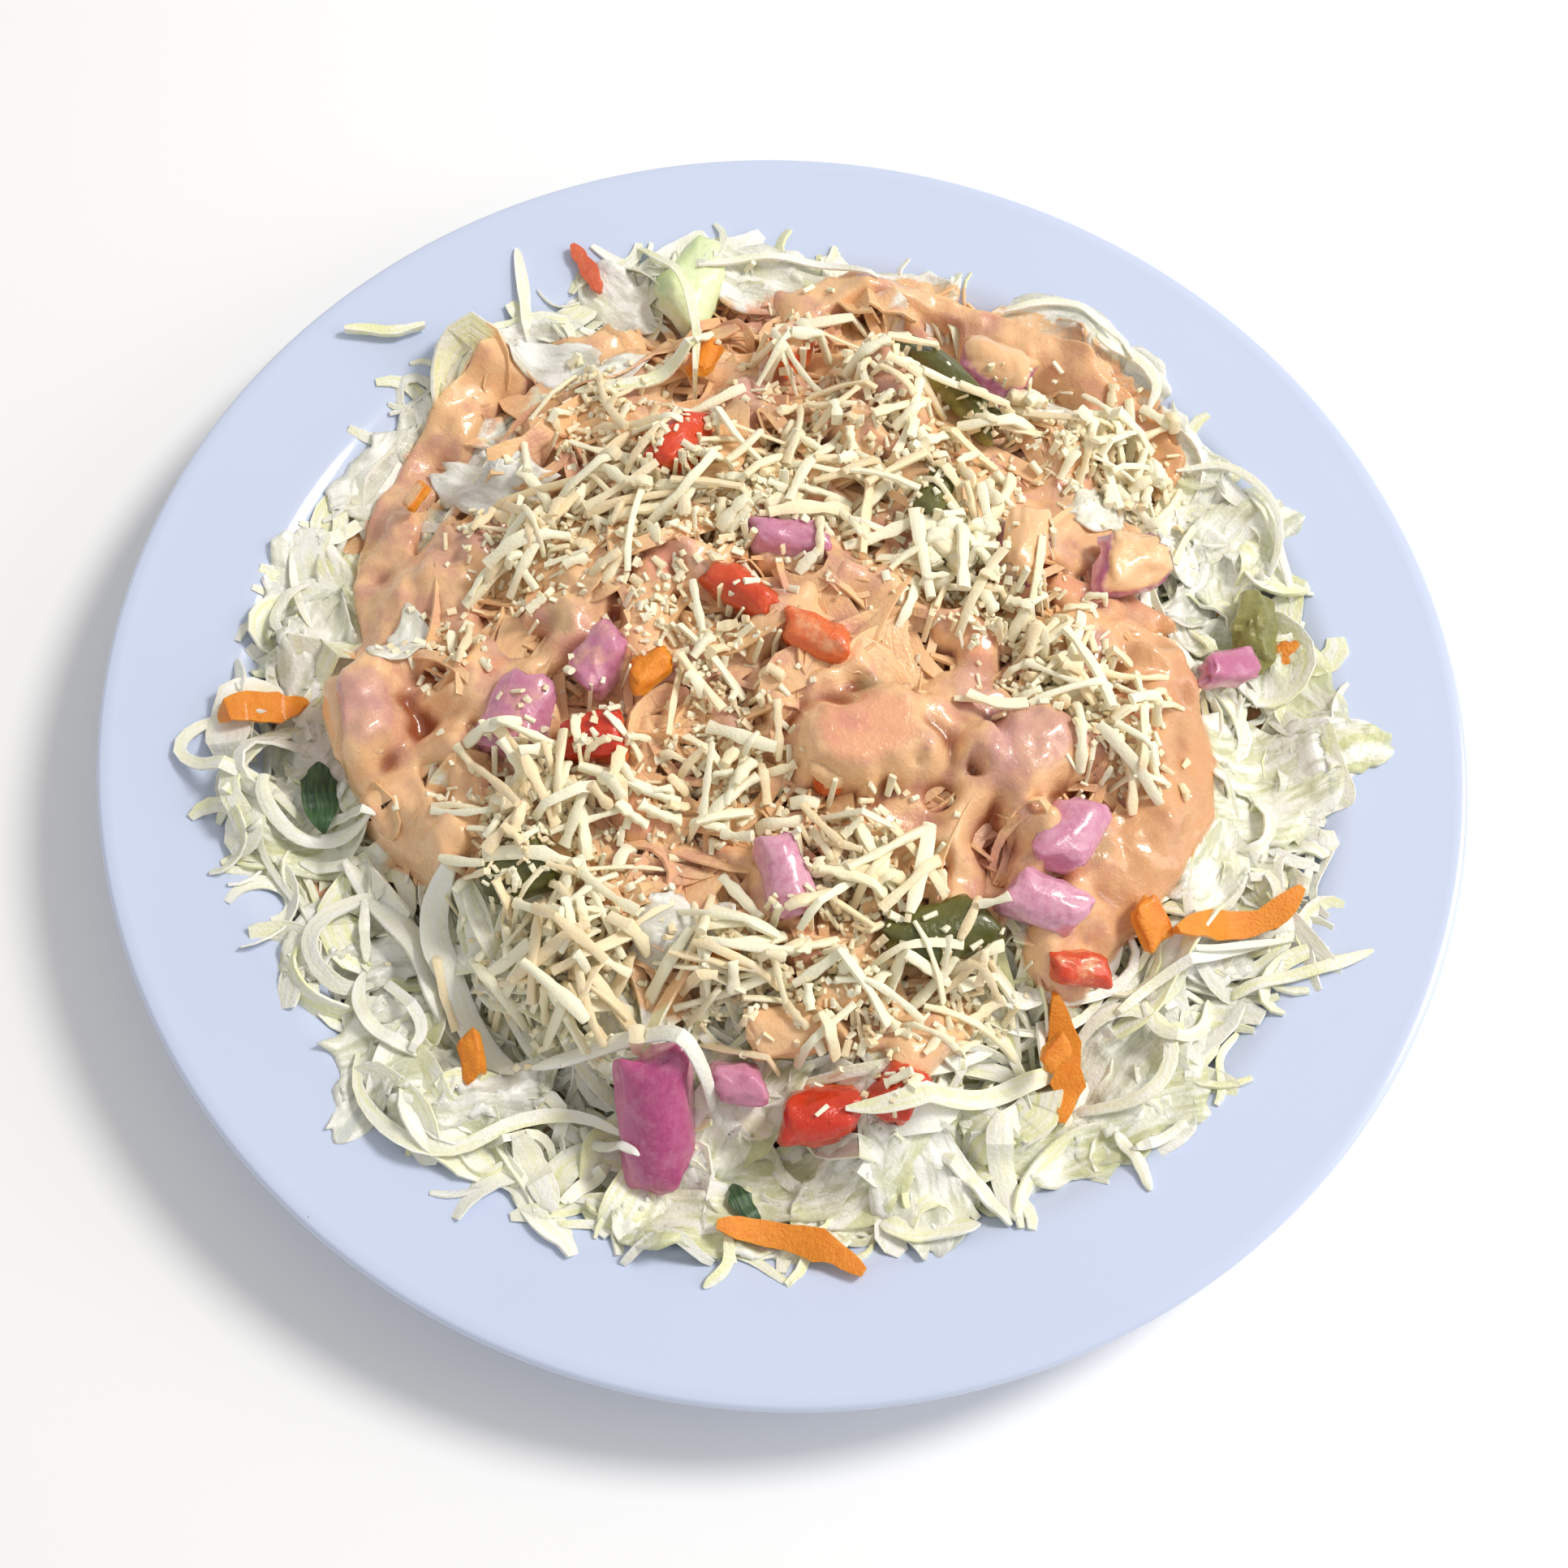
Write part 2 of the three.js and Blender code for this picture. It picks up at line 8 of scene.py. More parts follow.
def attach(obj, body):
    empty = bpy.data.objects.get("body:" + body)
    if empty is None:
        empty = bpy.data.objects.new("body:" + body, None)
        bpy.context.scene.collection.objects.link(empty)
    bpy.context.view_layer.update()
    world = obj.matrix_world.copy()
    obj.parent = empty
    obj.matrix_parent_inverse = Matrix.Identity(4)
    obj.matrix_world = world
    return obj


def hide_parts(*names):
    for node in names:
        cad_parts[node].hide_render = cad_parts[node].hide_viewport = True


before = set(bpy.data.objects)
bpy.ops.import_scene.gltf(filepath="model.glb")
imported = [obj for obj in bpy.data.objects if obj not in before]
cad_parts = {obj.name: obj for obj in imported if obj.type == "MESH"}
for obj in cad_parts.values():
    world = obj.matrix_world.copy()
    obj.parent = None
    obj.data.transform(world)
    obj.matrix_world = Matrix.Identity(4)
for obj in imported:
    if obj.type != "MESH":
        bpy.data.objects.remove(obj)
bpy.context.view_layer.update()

# Coleslaw on a white plate. Lengths and places are millimetres, with the plate's axis at x = y = 0 and the
# table at z = 0, and MM makes them metres as each mesh is made. -Y is the side nearest to the camera.
MM = 0.001

# Plate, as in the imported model
PLATE_RADIUS = 125
PLATE_HEIGHT = 21
PLATE_WALL = 3
WELL_RADIUS = 86
WELL_FLOOR = 6
LIP_RADIUS = 105
LIP_HEIGHT = 18
FOOT_INNER = 61
FOOT_OUTER = 68
FOOT_RECESS = 2.4
PLATE_STEPS = 180

# Heap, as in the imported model
HEAP_RADIUS = 91
HEAP_SKIRT = 6
HEAP_HEIGHT = 31
HEAP_SHOULDER = 2.6
HEAP_CROWN = 0.75
HEAP_LUMP = 1.6
SLOPE_REACH = 6
CHUNK_SQUARENESS = 0.42

# Lower core under the shreds, the fringe of shreds round the heap, and the relief's square cells, which
# reach SPAN to each side of the axis
CORE_RADIUS = 84
CORE_DEPTH = 6
CORE_CELLS = 120
FRINGE = 11
CELL = 0.5
SPAN = 128

# How many pieces of each kind are strewn by chance, and within what distance of the axis; then how many
# points go along strips: strewn shreds, shreds that stand out, other traced pieces, and cheese sticks
SHRED_COUNT = 2000
FRINGE_LEAF_COUNT = 34
HIDDEN_DICE_COUNT = 70
CRUMB_COUNT = 4600
STICK_COUNT = 680
SHRED_REACH = 104
FRINGE_LEAF_REACH = (74, 97)
HIDDEN_DICE_REACH = 66
SHRED_STATIONS = 12
SEEN_STATIONS = 20
TRACED_STATIONS = 16
STICK_STATIONS = 7

# A traced piece looks like a diced one at this height within it, from -1 to 1
LOOK_HEIGHT = 0.6

# Edges of dice and lumps are sharp where they bend more than this, in degrees
CREASE = 70

# Pool of dressing, poured a little behind the middle, how far its body reaches, and the coat from which
# a diced piece makes a lump in it
SAUCE_CENTRE = (-3, 14)
SAUCE_RADIUS = 76
SAUCE_BODY_RADIUS = 98
SAUCE_CELLS = 300
COATED = 0.9

# No cheese falls where the heap is already higher than the first of these, and no shred or stick has its
# middle line above the second. The dressing stays under a height a little above that.
CHEESE_LIMIT = 41.3
TOP_LIMIT = 44.4

UP = np.array([0.0, 0.0, 1.0])


def smoothstep(low, high, value):
    share = np.clip((value - low) / (high - low), 0, 1)
    return share * share * (3 - 2 * share)


def unit(vectors):
    """Vectors along the last axis, each divided by its length."""
    return vectors / np.maximum(np.linalg.norm(vectors, axis=-1, keepdims=True), 1e-9)


def value_noise(x, y, size, seed):
    """Smooth noise from -1 to 1: random values at the corners of squares of `size`, blended between."""
    table = np.random.default_rng(seed).uniform(-1, 1, (64, 64))
    gx, gy = np.asarray(x) / size + 640, np.asarray(y) / size + 640
    ix, iy = np.floor(gx).astype(int), np.floor(gy).astype(int)
    fx, fy = smoothstep(0, 1, gx - ix), smoothstep(0, 1, gy - iy)
    corner = lambda i, j: table[(ix + i) % 64, (iy + j) % 64]
    low = corner(0, 0) * (1 - fx) + corner(1, 0) * fx
    high = corner(0, 1) * (1 - fx) + corner(1, 1) * fx
    return low * (1 - fy) + high * fy


def plate_top(radius):
    """Floor, then a wall that rises as a smooth step, then the rim's gentle slope."""
    wall = WELL_FLOOR + (LIP_HEIGHT - WELL_FLOOR) * smoothstep(WELL_RADIUS, LIP_RADIUS, radius)
    rim = LIP_HEIGHT + (PLATE_HEIGHT - LIP_HEIGHT) * (radius - LIP_RADIUS) / (PLATE_RADIUS - LIP_RADIUS)
    return np.where(radius < LIP_RADIUS, wall, rim)


def heap_edge(angle):
    """Distance from the axis to the heap's edge: a circle with three slow waves."""
    wave = 0.022 * np.cos(3 * angle + 0.6) + 0.016 * np.cos(5 * angle + 2.1)
    return HEAP_RADIUS * (1 + wave + 0.012 * np.cos(8 * angle + 4))


def heap_top(x, y):
    """A flat-topped dome with lumps, which runs out a little beyond the heap's edge."""
    share = np.minimum(1, np.hypot(x, y) / (heap_edge(np.arctan2(y, x)) + HEAP_SKIRT))
    dome = (1 - share**HEAP_SHOULDER) ** HEAP_CROWN
    lumps = np.sin(x / 7.3 + 1.1) * np.sin(y / 8.1 + 0.4)
    lumps = lumps + 0.6 * np.sin((x + y) / 5.2) * np.sin((x - y) / 6.1)
    return WELL_FLOOR + 1 + HEAP_HEIGHT * dome + HEAP_LUMP * lumps * (1 - share * share)


def ground(x, y):
    """What a loose piece lies on: the heap inside its edge, and the plate beside it."""
    plate = plate_top(np.hypot(x, y))
    inside = np.hypot(x, y) < heap_edge(np.arctan2(y, x))
    return np.where(inside, np.maximum(heap_top(x, y), plate), plate)


def core_top(x, y):
    """The lower core under the shreds: the heap less CORE_DEPTH, with its edge drawn in to a ramp."""
    radius = np.hypot(x, y)
    inner = heap_top(x, y) - CORE_DEPTH - 8 * smoothstep(CORE_RADIUS - 22, CORE_RADIUS, radius)
    return np.where(radius < CORE_RADIUS, inner, -1.0)


class Relief:
    """Height of everything laid so far, on square cells."""

    def __init__(self):
        axis = np.arange(-SPAN, SPAN + CELL, CELL)
        self.x, self.y = np.meshgrid(axis, axis, indexing="ij")
        radius = np.hypot(self.x, self.y)
        self.z = plate_top(np.minimum(radius, PLATE_RADIUS))
        self.z = np.maximum(self.z, core_top(self.x, self.y))

    def cell(self, x, y):
        last = self.z.shape[0] - 1
        place = lambda t: np.clip(np.rint((t + SPAN) / CELL).astype(int), 0, last)
        return place(x), place(y)

    def at(self, x, y):
        return self.z[self.cell(x, y)]

    def raise_to(self, x, y, z):
        np.maximum.at(self.z, self.cell(x, y), z)


def blurred(grid, reach):
    """A grid smoothed by a bell curve of that reach in millimetres, by way of its frequencies."""
    waves = np.fft.rfft2(grid)
    fx = np.fft.fftfreq(grid.shape[0], CELL)[:, None]
    fy = np.fft.rfftfreq(grid.shape[1], CELL)[None, :]
    bell = np.exp(-2 * (math.pi * reach) ** 2 * (fx**2 + fy**2))
    return np.fft.irfft2(waves * bell, s=grid.shape)


def spread_out(grid, reach):
    """Each cell raised to the highest within that reach in millimetres."""
    cells = int(reach / CELL)
    best = grid
    for i in range(-cells, cells + 1):
        for j in range(-cells, cells + 1):
            if i * i + j * j <= cells * cells:
                best = np.maximum(best, np.roll(grid, (i, j), (0, 1)))
    return best


def between_cells(grid, x, y):
    """The grid's value at any point, blended from the four cells round it."""
    gx, gy = (x + SPAN) / CELL, (y + SPAN) / CELL
    i = np.clip(gx.astype(int), 0, grid.shape[0] - 2)
    j = np.clip(gy.astype(int), 0, grid.shape[1] - 2)
    fx, fy = gx - i, gy - j
    low = grid[i, j] * (1 - fx) + grid[i + 1, j] * fx
    high = grid[i, j + 1] * (1 - fx) + grid[i + 1, j + 1] * fx
    return low * (1 - fy) + high * fy


# Meshes


def make_piece(name, points, faces, look, slot, replaced=(), values=None, crease=None):
    """One object from points in millimetres and arrays of faces, each array with its own corner count.
    `values` are named numbers or triples at its points, which its material reads. Edges that bend more
    than `crease` degrees are sharp."""
    mesh = bpy.data.meshes.new(name)
    points = np.asarray(points, float).reshape(-1, 3)
    corners = np.concatenate([f.ravel() for f in faces])
    counts = np.concatenate([np.full(len(f), f.shape[1]) for f in faces])
    mesh.vertices.add(len(points))
    mesh.vertices.foreach_set("co", (points * MM).astype(np.float32).ravel())
    mesh.loops.add(len(corners))
    mesh.loops.foreach_set("vertex_index", corners.astype(np.int32))
    mesh.polygons.add(len(counts))
    mesh.polygons.foreach_set("loop_start", (np.cumsum(counts) - counts).astype(np.int32))
    mesh.polygons.foreach_set("use_smooth", np.full(len(counts), True))
    for key, value in (values or {}).items():
        value = np.asarray(value, np.float32)
        triple = value.size == 3 * len(points)
        layer = mesh.attributes.new(key, "FLOAT_VECTOR" if triple else "FLOAT", "POINT")
        layer.data.foreach_set("vector" if triple else "value", value.ravel())
    mesh.update()
    mesh.validate()
    if crease:
        mesh.set_sharp_from_angle(angle=math.radians(crease))
    mesh.materials.append(look)
    piece = bpy.data.objects.new(name, mesh)
    bpy.context.scene.collection.objects.link(piece)
    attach(piece, "root")
    if replaced:
        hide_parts(*replaced)
    return piece


def repeated(faces, count, size):
    """The faces of one body of `size` points, again for each of `count` such bodies."""
    start = np.arange(count)[:, None, None] * size
    return [(start + face).reshape(-1, face.shape[1]) for face in faces]


def tube_faces(count, stations, sides):
    """Faces of closed tubes of points [count, stations, sides]: quads round each, and two caps."""
    i, j = np.meshgrid(np.arange(stations - 1), np.arange(sides), indexing="ij")
    k = (j + 1) % sides
    quads = np.stack([i * sides + j, i * sides + k, (i + 1) * sides + k, (i + 1) * sides + j], -1)
    caps = np.stack([np.arange(sides)[::-1], (stations - 1) * sides + np.arange(sides)])
    return repeated([quads.reshape(-1, 4), caps], count, stations * sides)


def grid_quads(rows, columns):
    """Quads between the neighbours in a grid of points."""
    i, j = np.meshgrid(np.arange(rows - 1), np.arange(columns - 1), indexing="ij")
    near, far = i * columns + j, (i + 1) * columns + j
    return np.stack([near, far, far + 1, near + 1], -1).reshape(-1, 4)


def sheet_faces(count, rows, columns):
    """Faces of thin closed sheets of points [count, 2, rows, columns]: top, underside and edge of each."""
    top = grid_quads(rows, columns)
    n, m = np.arange(rows) * columns, np.arange(columns)
    last = (rows - 1) * columns
    ring = np.concatenate([n, last + m[1:], (n + columns - 1)[::-1][1:], m[::-1][1:-1]])
    after = np.roll(ring, -1)
    below = rows * columns
    edge = np.stack([after, ring, ring + below, after + below], -1)
    return repeated([top, top[:, ::-1] + below, edge], count, 2 * below)


def carried(path, half, thick, twist, cup, section):
    """A profile carried along each path. `path` is [count, stations, 3], and the profile's points, [sides,
    2], are stretched by half the width and half the thickness, cupped, and turned by `twist`."""
    tangent = unit(np.gradient(path, axis=1))
    side = unit(np.cross(UP, tangent))
    rise = np.cross(tangent, side)
    turn = twist[..., None]
    side, rise = side * np.cos(turn) + rise * np.sin(turn), rise * np.cos(turn) - side * np.sin(turn)
    a = section[:, 0][None, None, :] * half[..., None]
    b = section[:, 1][None, None, :] * thick[..., None] / 2
    b = b + cup[..., None] * (section[:, 0] ** 2 - 0.5)[None, None, :]
    return path[:, :, None] + side[:, :, None] * a[..., None] + rise[:, :, None] * b[..., None]


def eight_corners(side):
    """A profile of eight corners, flat above and below, whose sides are `side` of its thickness high."""
    right = [(0.5, -1), (1, -side), (1, side), (0.5, 1)]
    return np.array([(-1, -side), (-0.5, -1), *right, (-0.5, 1), (-1, side)])


# Profiles: herbs and the stray shred, strewn cabbage, cheese and carrot, and the traced cabbage
FLAT_SECTION = np.array([(-1, 0), (-0.7, -1), (0.7, -1), (1, 0), (0.7, 1), (-0.7, 1)])
STICK_SECTION = np.array([(-1, -1), (1, -1), (1, 1), (-1, 1)])
SOFT_SECTION = eight_corners(0.5)
RIBBON_SECTION = eight_corners(0.8)


def strip(px, py, line, half, thick, twist, cup, tone):
    """A strip for ribbon_piece: its path; half width, thickness, twist and cup along it; and its tone."""
    along = [np.broadcast_to(value, px.shape) for value in (half, thick, twist, cup)]
    return np.stack([px, py, line], -1), *along, tone


def ribbon_piece(name, strips, section, look, slot, replaced=(), crease=None, dressed=1.0):
    """One object of many strips, each a profile carried along its path, with its tone, its coat and its
    grain, which is the place across and along it."""
    paths, halves, thicks, twists, cups, tones = [np.array(part) for part in zip(*strips)]
    points = carried(paths, halves, thicks, twists, cups, section)
    count, stations, sides = points.shape[:3]
    tone = np.broadcast_to(tones[:, None, None], points.shape[:3])
    along = np.linalg.norm(np.diff(paths, axis=1, prepend=paths[:, :1]), axis=-1).cumsum(1)
    along = np.broadcast_to(along[..., None], points.shape[:3])
    grain = np.stack([section[:, 0] * halves[..., None], along * 0.12, tone * 90], -1) * MM
    coat = sauce_cover(points[..., 0], points[..., 1]) * dressed
    values = {"tone": tone.ravel(), "coat": coat.ravel(), "grain": grain}
    faces = tube_faces(count, stations, sides)
    return make_piece(name, points, faces, look, slot, replaced, values, crease)


def middle_line(x, y, heading, length, bend, curl, waver, stations):
    """A path on the plan: its heading turns steadily by `bend` and wavers by `curl`, and its middle is at
    x, y. Gives the x, y and heading of each station, in radians."""
    u = np.linspace(0, 1, stations)
    turn = heading + bend * (u - 0.5) + curl * np.sin(2 * math.pi * (u * 0.9 + waver))
    step = length / (stations - 1)
    px = np.concatenate([[0], np.cumsum(np.cos(turn[:-1]))]) * step
    py = np.concatenate([[0], np.cumsum(np.sin(turn[:-1]))]) * step
    middle = stations // 2
    return px - px[middle] + x, py - py[middle] + y, turn


def traced_line(corners, stations):
    """A smooth path on the plan through the corners: corners are cut three times, then even stations
    are taken along it. Gives x, y and heading."""
    line = np.array(corners, float)
    for _ in range(3):
        cut = np.stack([line[:-1] * 0.75 + line[1:] * 0.25, line[:-1] * 0.25 + line[1:] * 0.75], 1)
        line = np.concatenate([line[:1], cut.reshape(-1, 2), line[-1:]])
    gone = np.concatenate([[0], np.cumsum(np.linalg.norm(np.diff(line, axis=0), axis=1))])
    even = np.linspace(0, gone[-1], stations)
    px, py = np.interp(even, gone, line[:, 0]), np.interp(even, gone, line[:, 1])
    return px, py, np.arctan2(np.gradient(py), np.gradient(px))


def settle(relief, px, py, turn, half, thick, stiff, arch=0.0, sag=0.0):
    """Lets a strip down on the relief: it lies on what is under its middle and both edges, and bridges
    the hollows, as each pass lifts it to the mean of its neighbours. Gives the height of its middle."""
    ax, ay = -np.sin(turn) * half, np.cos(turn) * half
    edges = np.maximum(relief.at(px + ax, py + ay), relief.at(px - ax, py - ay))
    under = np.maximum(relief.at(px, py), edges)
    line = under
    for _ in range(stiff):
        even = line.copy()
        even[1:-1] = (line[:-2] + 2 * line[1:-1] + line[2:]) / 4
        line = np.maximum(under, even)
    line = line - sag + arch * np.sin(math.pi * np.linspace(0, 1, len(px)))
    qx, qy = (px[1:] + px[:-1]) / 2, (py[1:] + py[:-1]) / 2
    for s in (-0.7, 0, 0.7):
        relief.raise_to(px + ax * s, py + ay * s, line + thick)
        relief.raise_to(qx + (ax * s)[1:], qy + (ay * s)[1:], (line[1:] + line[:-1]) / 2 + thick)
    return line + thick / 2


def disc_body(name, cells, radius, top, floor, look, slot, replaced=(), values=None):
    """A closed body over a disc. A square grid is bent to the disc, as x is shrunk where y is large and y
    where x is. `top` gives its upper face, and its border and one point at `floor` make its underside."""
    u, v = np.meshgrid(np.linspace(-1, 1, cells), np.linspace(-1, 1, cells), indexing="ij")
    x, y = radius * u * np.sqrt(1 - v * v / 2), radius * v * np.sqrt(1 - u * u / 2)
    points = np.stack([x, y, top(x, y)], -1).reshape(-1, 3)
    n = np.arange(cells)
    last = (cells - 1) * cells
    border = np.concatenate([n * cells, last + n[1:], n[::-1][1:] * cells + cells - 1, n[::-1][1:-1]])
    lower = points[border].copy()
    lower[:, 2] = floor(lower[:, 0], lower[:, 1])
    centre = np.array([[0, 0, float(floor(0.0, 0.0))]])
    first = len(points)
    k = np.arange(len(border))
    after = np.roll(k, -1)
    wall = np.stack([border[after], border[k], first + k, first + after], -1)
    fan = np.stack([first + after, first + k, np.full(len(k), first + len(k))], -1)
    points = np.concatenate([points, lower, centre])
    values = {key: value(points[:, 0], points[:, 1]) for key, value in (values or {}).items()}
    return make_piece(name, points, [grid_quads(cells, cells), wall, fan], look, slot, replaced, values)


# Looks


class Look:
    """A node material that is built up in short steps. Sizes are millimetres."""

    def __init__(self, name, roughness, **sockets):
        self.material = bpy.data.materials.new(name)
        self.material.use_nodes = True
        self.tree = self.material.node_tree
        self.shader = self.tree.nodes["Principled BSDF"]
        self.shader.inputs["Roughness"].default_value = roughness
        for socket, value in sockets.items():
            self.shader.inputs[socket.replace("_", " ")].default_value = value
        self.coordinates = self.node("ShaderNodeTexCoord").outputs["Object"]

    def node(self, kind, **settings):
        node = self.tree.nodes.new(kind)
        for key, value in settings.items():
            setattr(node, key, value)
        return node

    def join(self, value, socket):
        if isinstance(value, bpy.types.NodeSocket):
            self.tree.links.new(value, socket)
        else:
            socket.default_value = value

    def noise(self, size, detail=4.0, rough=0.55, where=None):
        """Noise whose blotches are about `size` across."""
        node = self.node("ShaderNodeTexNoise")
        self.join(where or self.coordinates, node.inputs["Vector"])
        node.inputs["Scale"].default_value = 1 / (size * MM)
        node.inputs["Detail"].default_value = detail
        node.inputs["Roughness"].default_value = rough
        return node.outputs["Fac"]

    def cells(self, size):
        node = self.node("ShaderNodeTexVoronoi")
        self.join(self.coordinates, node.inputs["Vector"])
        node.inputs["Scale"].default_value = 1 / (size * MM)
        return node.outputs["Distance"]

    def range(self, value, low, high, out_low=0.0, out_high=1.0):
        """Goes smoothly from out_low to out_high while the value goes from low to high."""
        node = self.node("ShaderNodeMapRange", interpolation_type="SMOOTHSTEP")
        for socket, number in zip(node.inputs, (value, low, high, out_low, out_high)):
            self.join(number, socket)
        return node.outputs["Result"]

    def sum(self, a, b, operation="ADD"):
        node = self.node("ShaderNodeMath", operation=operation)
        self.join(a, node.inputs[0])
        self.join(b, node.inputs[1])
        return node.outputs["Value"]

    def mix(self, share, low, high):
        node = self.node("ShaderNodeMix", data_type="RGBA")
        sockets = [s for s in node.inputs if s.name in ("Factor", "A", "B") and s.enabled]
        self.join(share, sockets[0])
        for socket, colour in zip(sockets[1:], (low, high)):
            self.join(colour if isinstance(colour, bpy.types.NodeSocket) else (*colour, 1), socket)
        return [s for s in node.outputs if s.enabled][0]

    def value(self, name, output="Fac"):
        return self.node("ShaderNodeAttribute", attribute_name=name).outputs[output]

    def part(self, vector, axis):
        node = self.node("ShaderNodeSeparateXYZ")
        self.join(vector, node.inputs[0])
        return node.outputs[axis]

    def colour(self, colour):
        self.join(colour, self.shader.inputs["Base Color"])

    def roughness(self, value):
        self.join(value, self.shader.inputs["Roughness"])

    def bump(self, height, depth):
        """Relief of `depth` where `height` goes from 0 to 1."""
        node = self.node("ShaderNodeBump")
        node.inputs["Distance"].default_value = depth * MM
        node.inputs["Strength"].default_value = 1.0
        self.join(height, node.inputs["Height"])
        self.join(node.outputs["Normal"], self.shader.inputs["Normal"])


# Colours of the dressing: its own, its pale and pink blotches, a painted shade on the side towards the
# lamps, and a painted shade in its hollows
SAUCE = (0.86, 0.48, 0.23)
SAUCE_PALE = (0.93, 0.65, 0.39)
SAUCE_LAMP_SIDE_SHADE = (0.66, 0.32, 0.14)
SAUCE_PINK = (0.66, 0.33, 0.27)
SAUCE_HOLLOW_SHADE = (0.34, 0.09, 0.03)


def melamine_look():
    """Bluish white, with a few dark specks and slightly scuffed."""
    look = Look("white_melamine", 0.16, Coat_Weight=0.25, Coat_Roughness=0.08)
    specks = look.range(look.cells(26), 0.004, 0.012, 1, 0)
    scuffs = look.range(look.noise(9, 6, 0.7), 0.62, 0.72)
    base = look.mix(look.noise(60, 2), (0.58, 0.66, 0.88), (0.61, 0.69, 0.90))
    look.colour(look.mix(look.sum(specks, 0.6, "MULTIPLY"), base, (0.25, 0.25, 0.28)))
    look.roughness(look.range(scuffs, 0, 1, 0.14, 0.24))
    look.bump(look.noise(14, 3), 0.02)
    return look.material


def cabbage_look(name, pale, green, clear, vein_size=1.2):
    """Wet cabbage: paler streaks along the grain, see-through by `clear` at the most, dressing where the
    coat is."""
    look = Look(name, 0.3, Subsurface_Weight=0.25, Subsurface_Scale=0.001, IOR=1.4)
    look.shader.inputs["Subsurface Radius"].default_value = (1.0, 1.0, 0.7)
    grain = look.value("grain", "Vector")
    streaks = look.range(look.noise(vein_size, 3, 0.6, grain), 0.35, 0.65)
    tone = look.sum(look.value("tone"), look.noise(9, 3))
    base = look.mix(look.range(tone, 0.6, 1.4), pale, green)
    base = look.mix(look.sum(streaks, 0.75, "MULTIPLY"), base, (0.97, 0.975, 0.96))
    spread = look.range(look.sum(look.value("coat"), look.noise(4, 4)), 1.0, 1.35)
    dressing = look.mix(look.noise(6), SAUCE, SAUCE_PALE)
    dressing = look.mix(look.range(look.noise(11, 6, 0.65), 0.48, 0.66, 0, 0.7), dressing, SAUCE_PINK)
    look.colour(look.mix(spread, base, dressing))
    look.roughness(look.range(look.noise(2.5), 0.3, 0.7, 0.12, 0.34))
    look.bump(look.sum(look.noise(vein_size, 3, 0.6, grain), look.noise(0.8, 3)), 0.22)
    if clear:
        solid = look.range(look.sum(streaks, look.noise(7, 3)), 0.3, 1.5, 1 - clear, 1)
        look.join(look.sum(solid, spread, "MAXIMUM"), look.shader.inputs["Alpha"])
    return look.material


def sauce_look():
    """Dressing: salmon, darker on the side towards the lamps and in its hollows as painted shade, and tinted
    by the dice under it where it is thin.
    """
    look = Look("pink_dressing", 0.2, Subsurface_Weight=0.3, Subsurface_Scale=0.002)
    look.shader.inputs["Coat Weight"].default_value = 0.5
    look.shader.inputs["Coat Roughness"].default_value = 0.06
    look.shader.inputs["Subsurface Radius"].default_value = (1.0, 0.45, 0.25)
    base = look.mix(look.noise(7, 5, 0.65), SAUCE, SAUCE_PALE)
    base = look.mix(look.range(look.noise(11, 6, 0.65), 0.46, 0.64, 0, 0.75), base, SAUCE_PINK)
    # Painted shade: the dressing turns darker towards +X, the side that faces the key lamp
    side = look.part(look.coordinates, "X")
    base = look.mix(look.range(side, 0.035, 0.075, 0, 0.75), base, SAUCE_LAMP_SIDE_SHADE)
    # Painted shade in the dressing's hollows, where its surface lies below its surroundings
    base = look.mix(look.value("painted_hollow_shade"), base, SAUCE_HOLLOW_SHADE)
    shown = look.range(look.sum(look.value("bare"), look.noise(4, 5, 0.6)), 0.85, 1.5, 0, 0.45)
    look.colour(look.mix(shown, base, look.value("tint", "Color")))
    look.roughness(look.range(look.noise(3, 5), 0.35, 0.65, 0.14, 0.36))
    look.bump(look.sum(look.noise(3.2, 5, 0.6), look.range(look.noise(1.1, 3), 0.5, 0.7, 0, 0.15)), 0.35)
    return look.material


def core_look():
    """The core, which only shows in gaps: dark dressing inside, pale cabbage towards its edge, both darkened
    by painted shade for the gaps.
    """
    look = Look("inner_slaw", 0.5, Subsurface_Weight=0.3, Subsurface_Scale=0.004)
    # Both colours are darker than the dressing and the cabbage elsewhere: their own colours with painted
    # shade for the gaps where the core shows
    inner = look.mix(look.noise(5, 5), (0.42, 0.16, 0.06), (0.66, 0.38, 0.18))
    outer = look.mix(look.noise(5, 5), (0.74, 0.64, 0.34), (0.90, 0.84, 0.58))
    look.colour(look.mix(look.value("coat"), outer, inner))
    look.bump(look.noise(2.5, 6, 0.7), 1.2)
    return look.material


def cheese_look():
    """Pale yellow cheese, some of it soaked with dressing."""
    look = Look("grated_cheese", 0.5, Subsurface_Weight=0.2, Subsurface_Scale=0.001)
    look.shader.inputs["Subsurface Radius"].default_value = (1.0, 0.85, 0.5)
    blend = look.sum(look.value("tone"), look.noise(3), "MULTIPLY")
    base = look.mix(look.range(blend, 0.1, 0.6), (1.0, 0.96, 0.74), (1.0, 0.87, 0.54))
    soaked = look.range(look.sum(look.value("tone"), look.noise(7, 4)), 0.9, 1.35, 0, 0.5)
    look.colour(look.mix(soaked, base, (0.93, 0.70, 0.48)))
    look.bump(look.noise(0.7, 4, 0.65), 0.22)
    return look.material


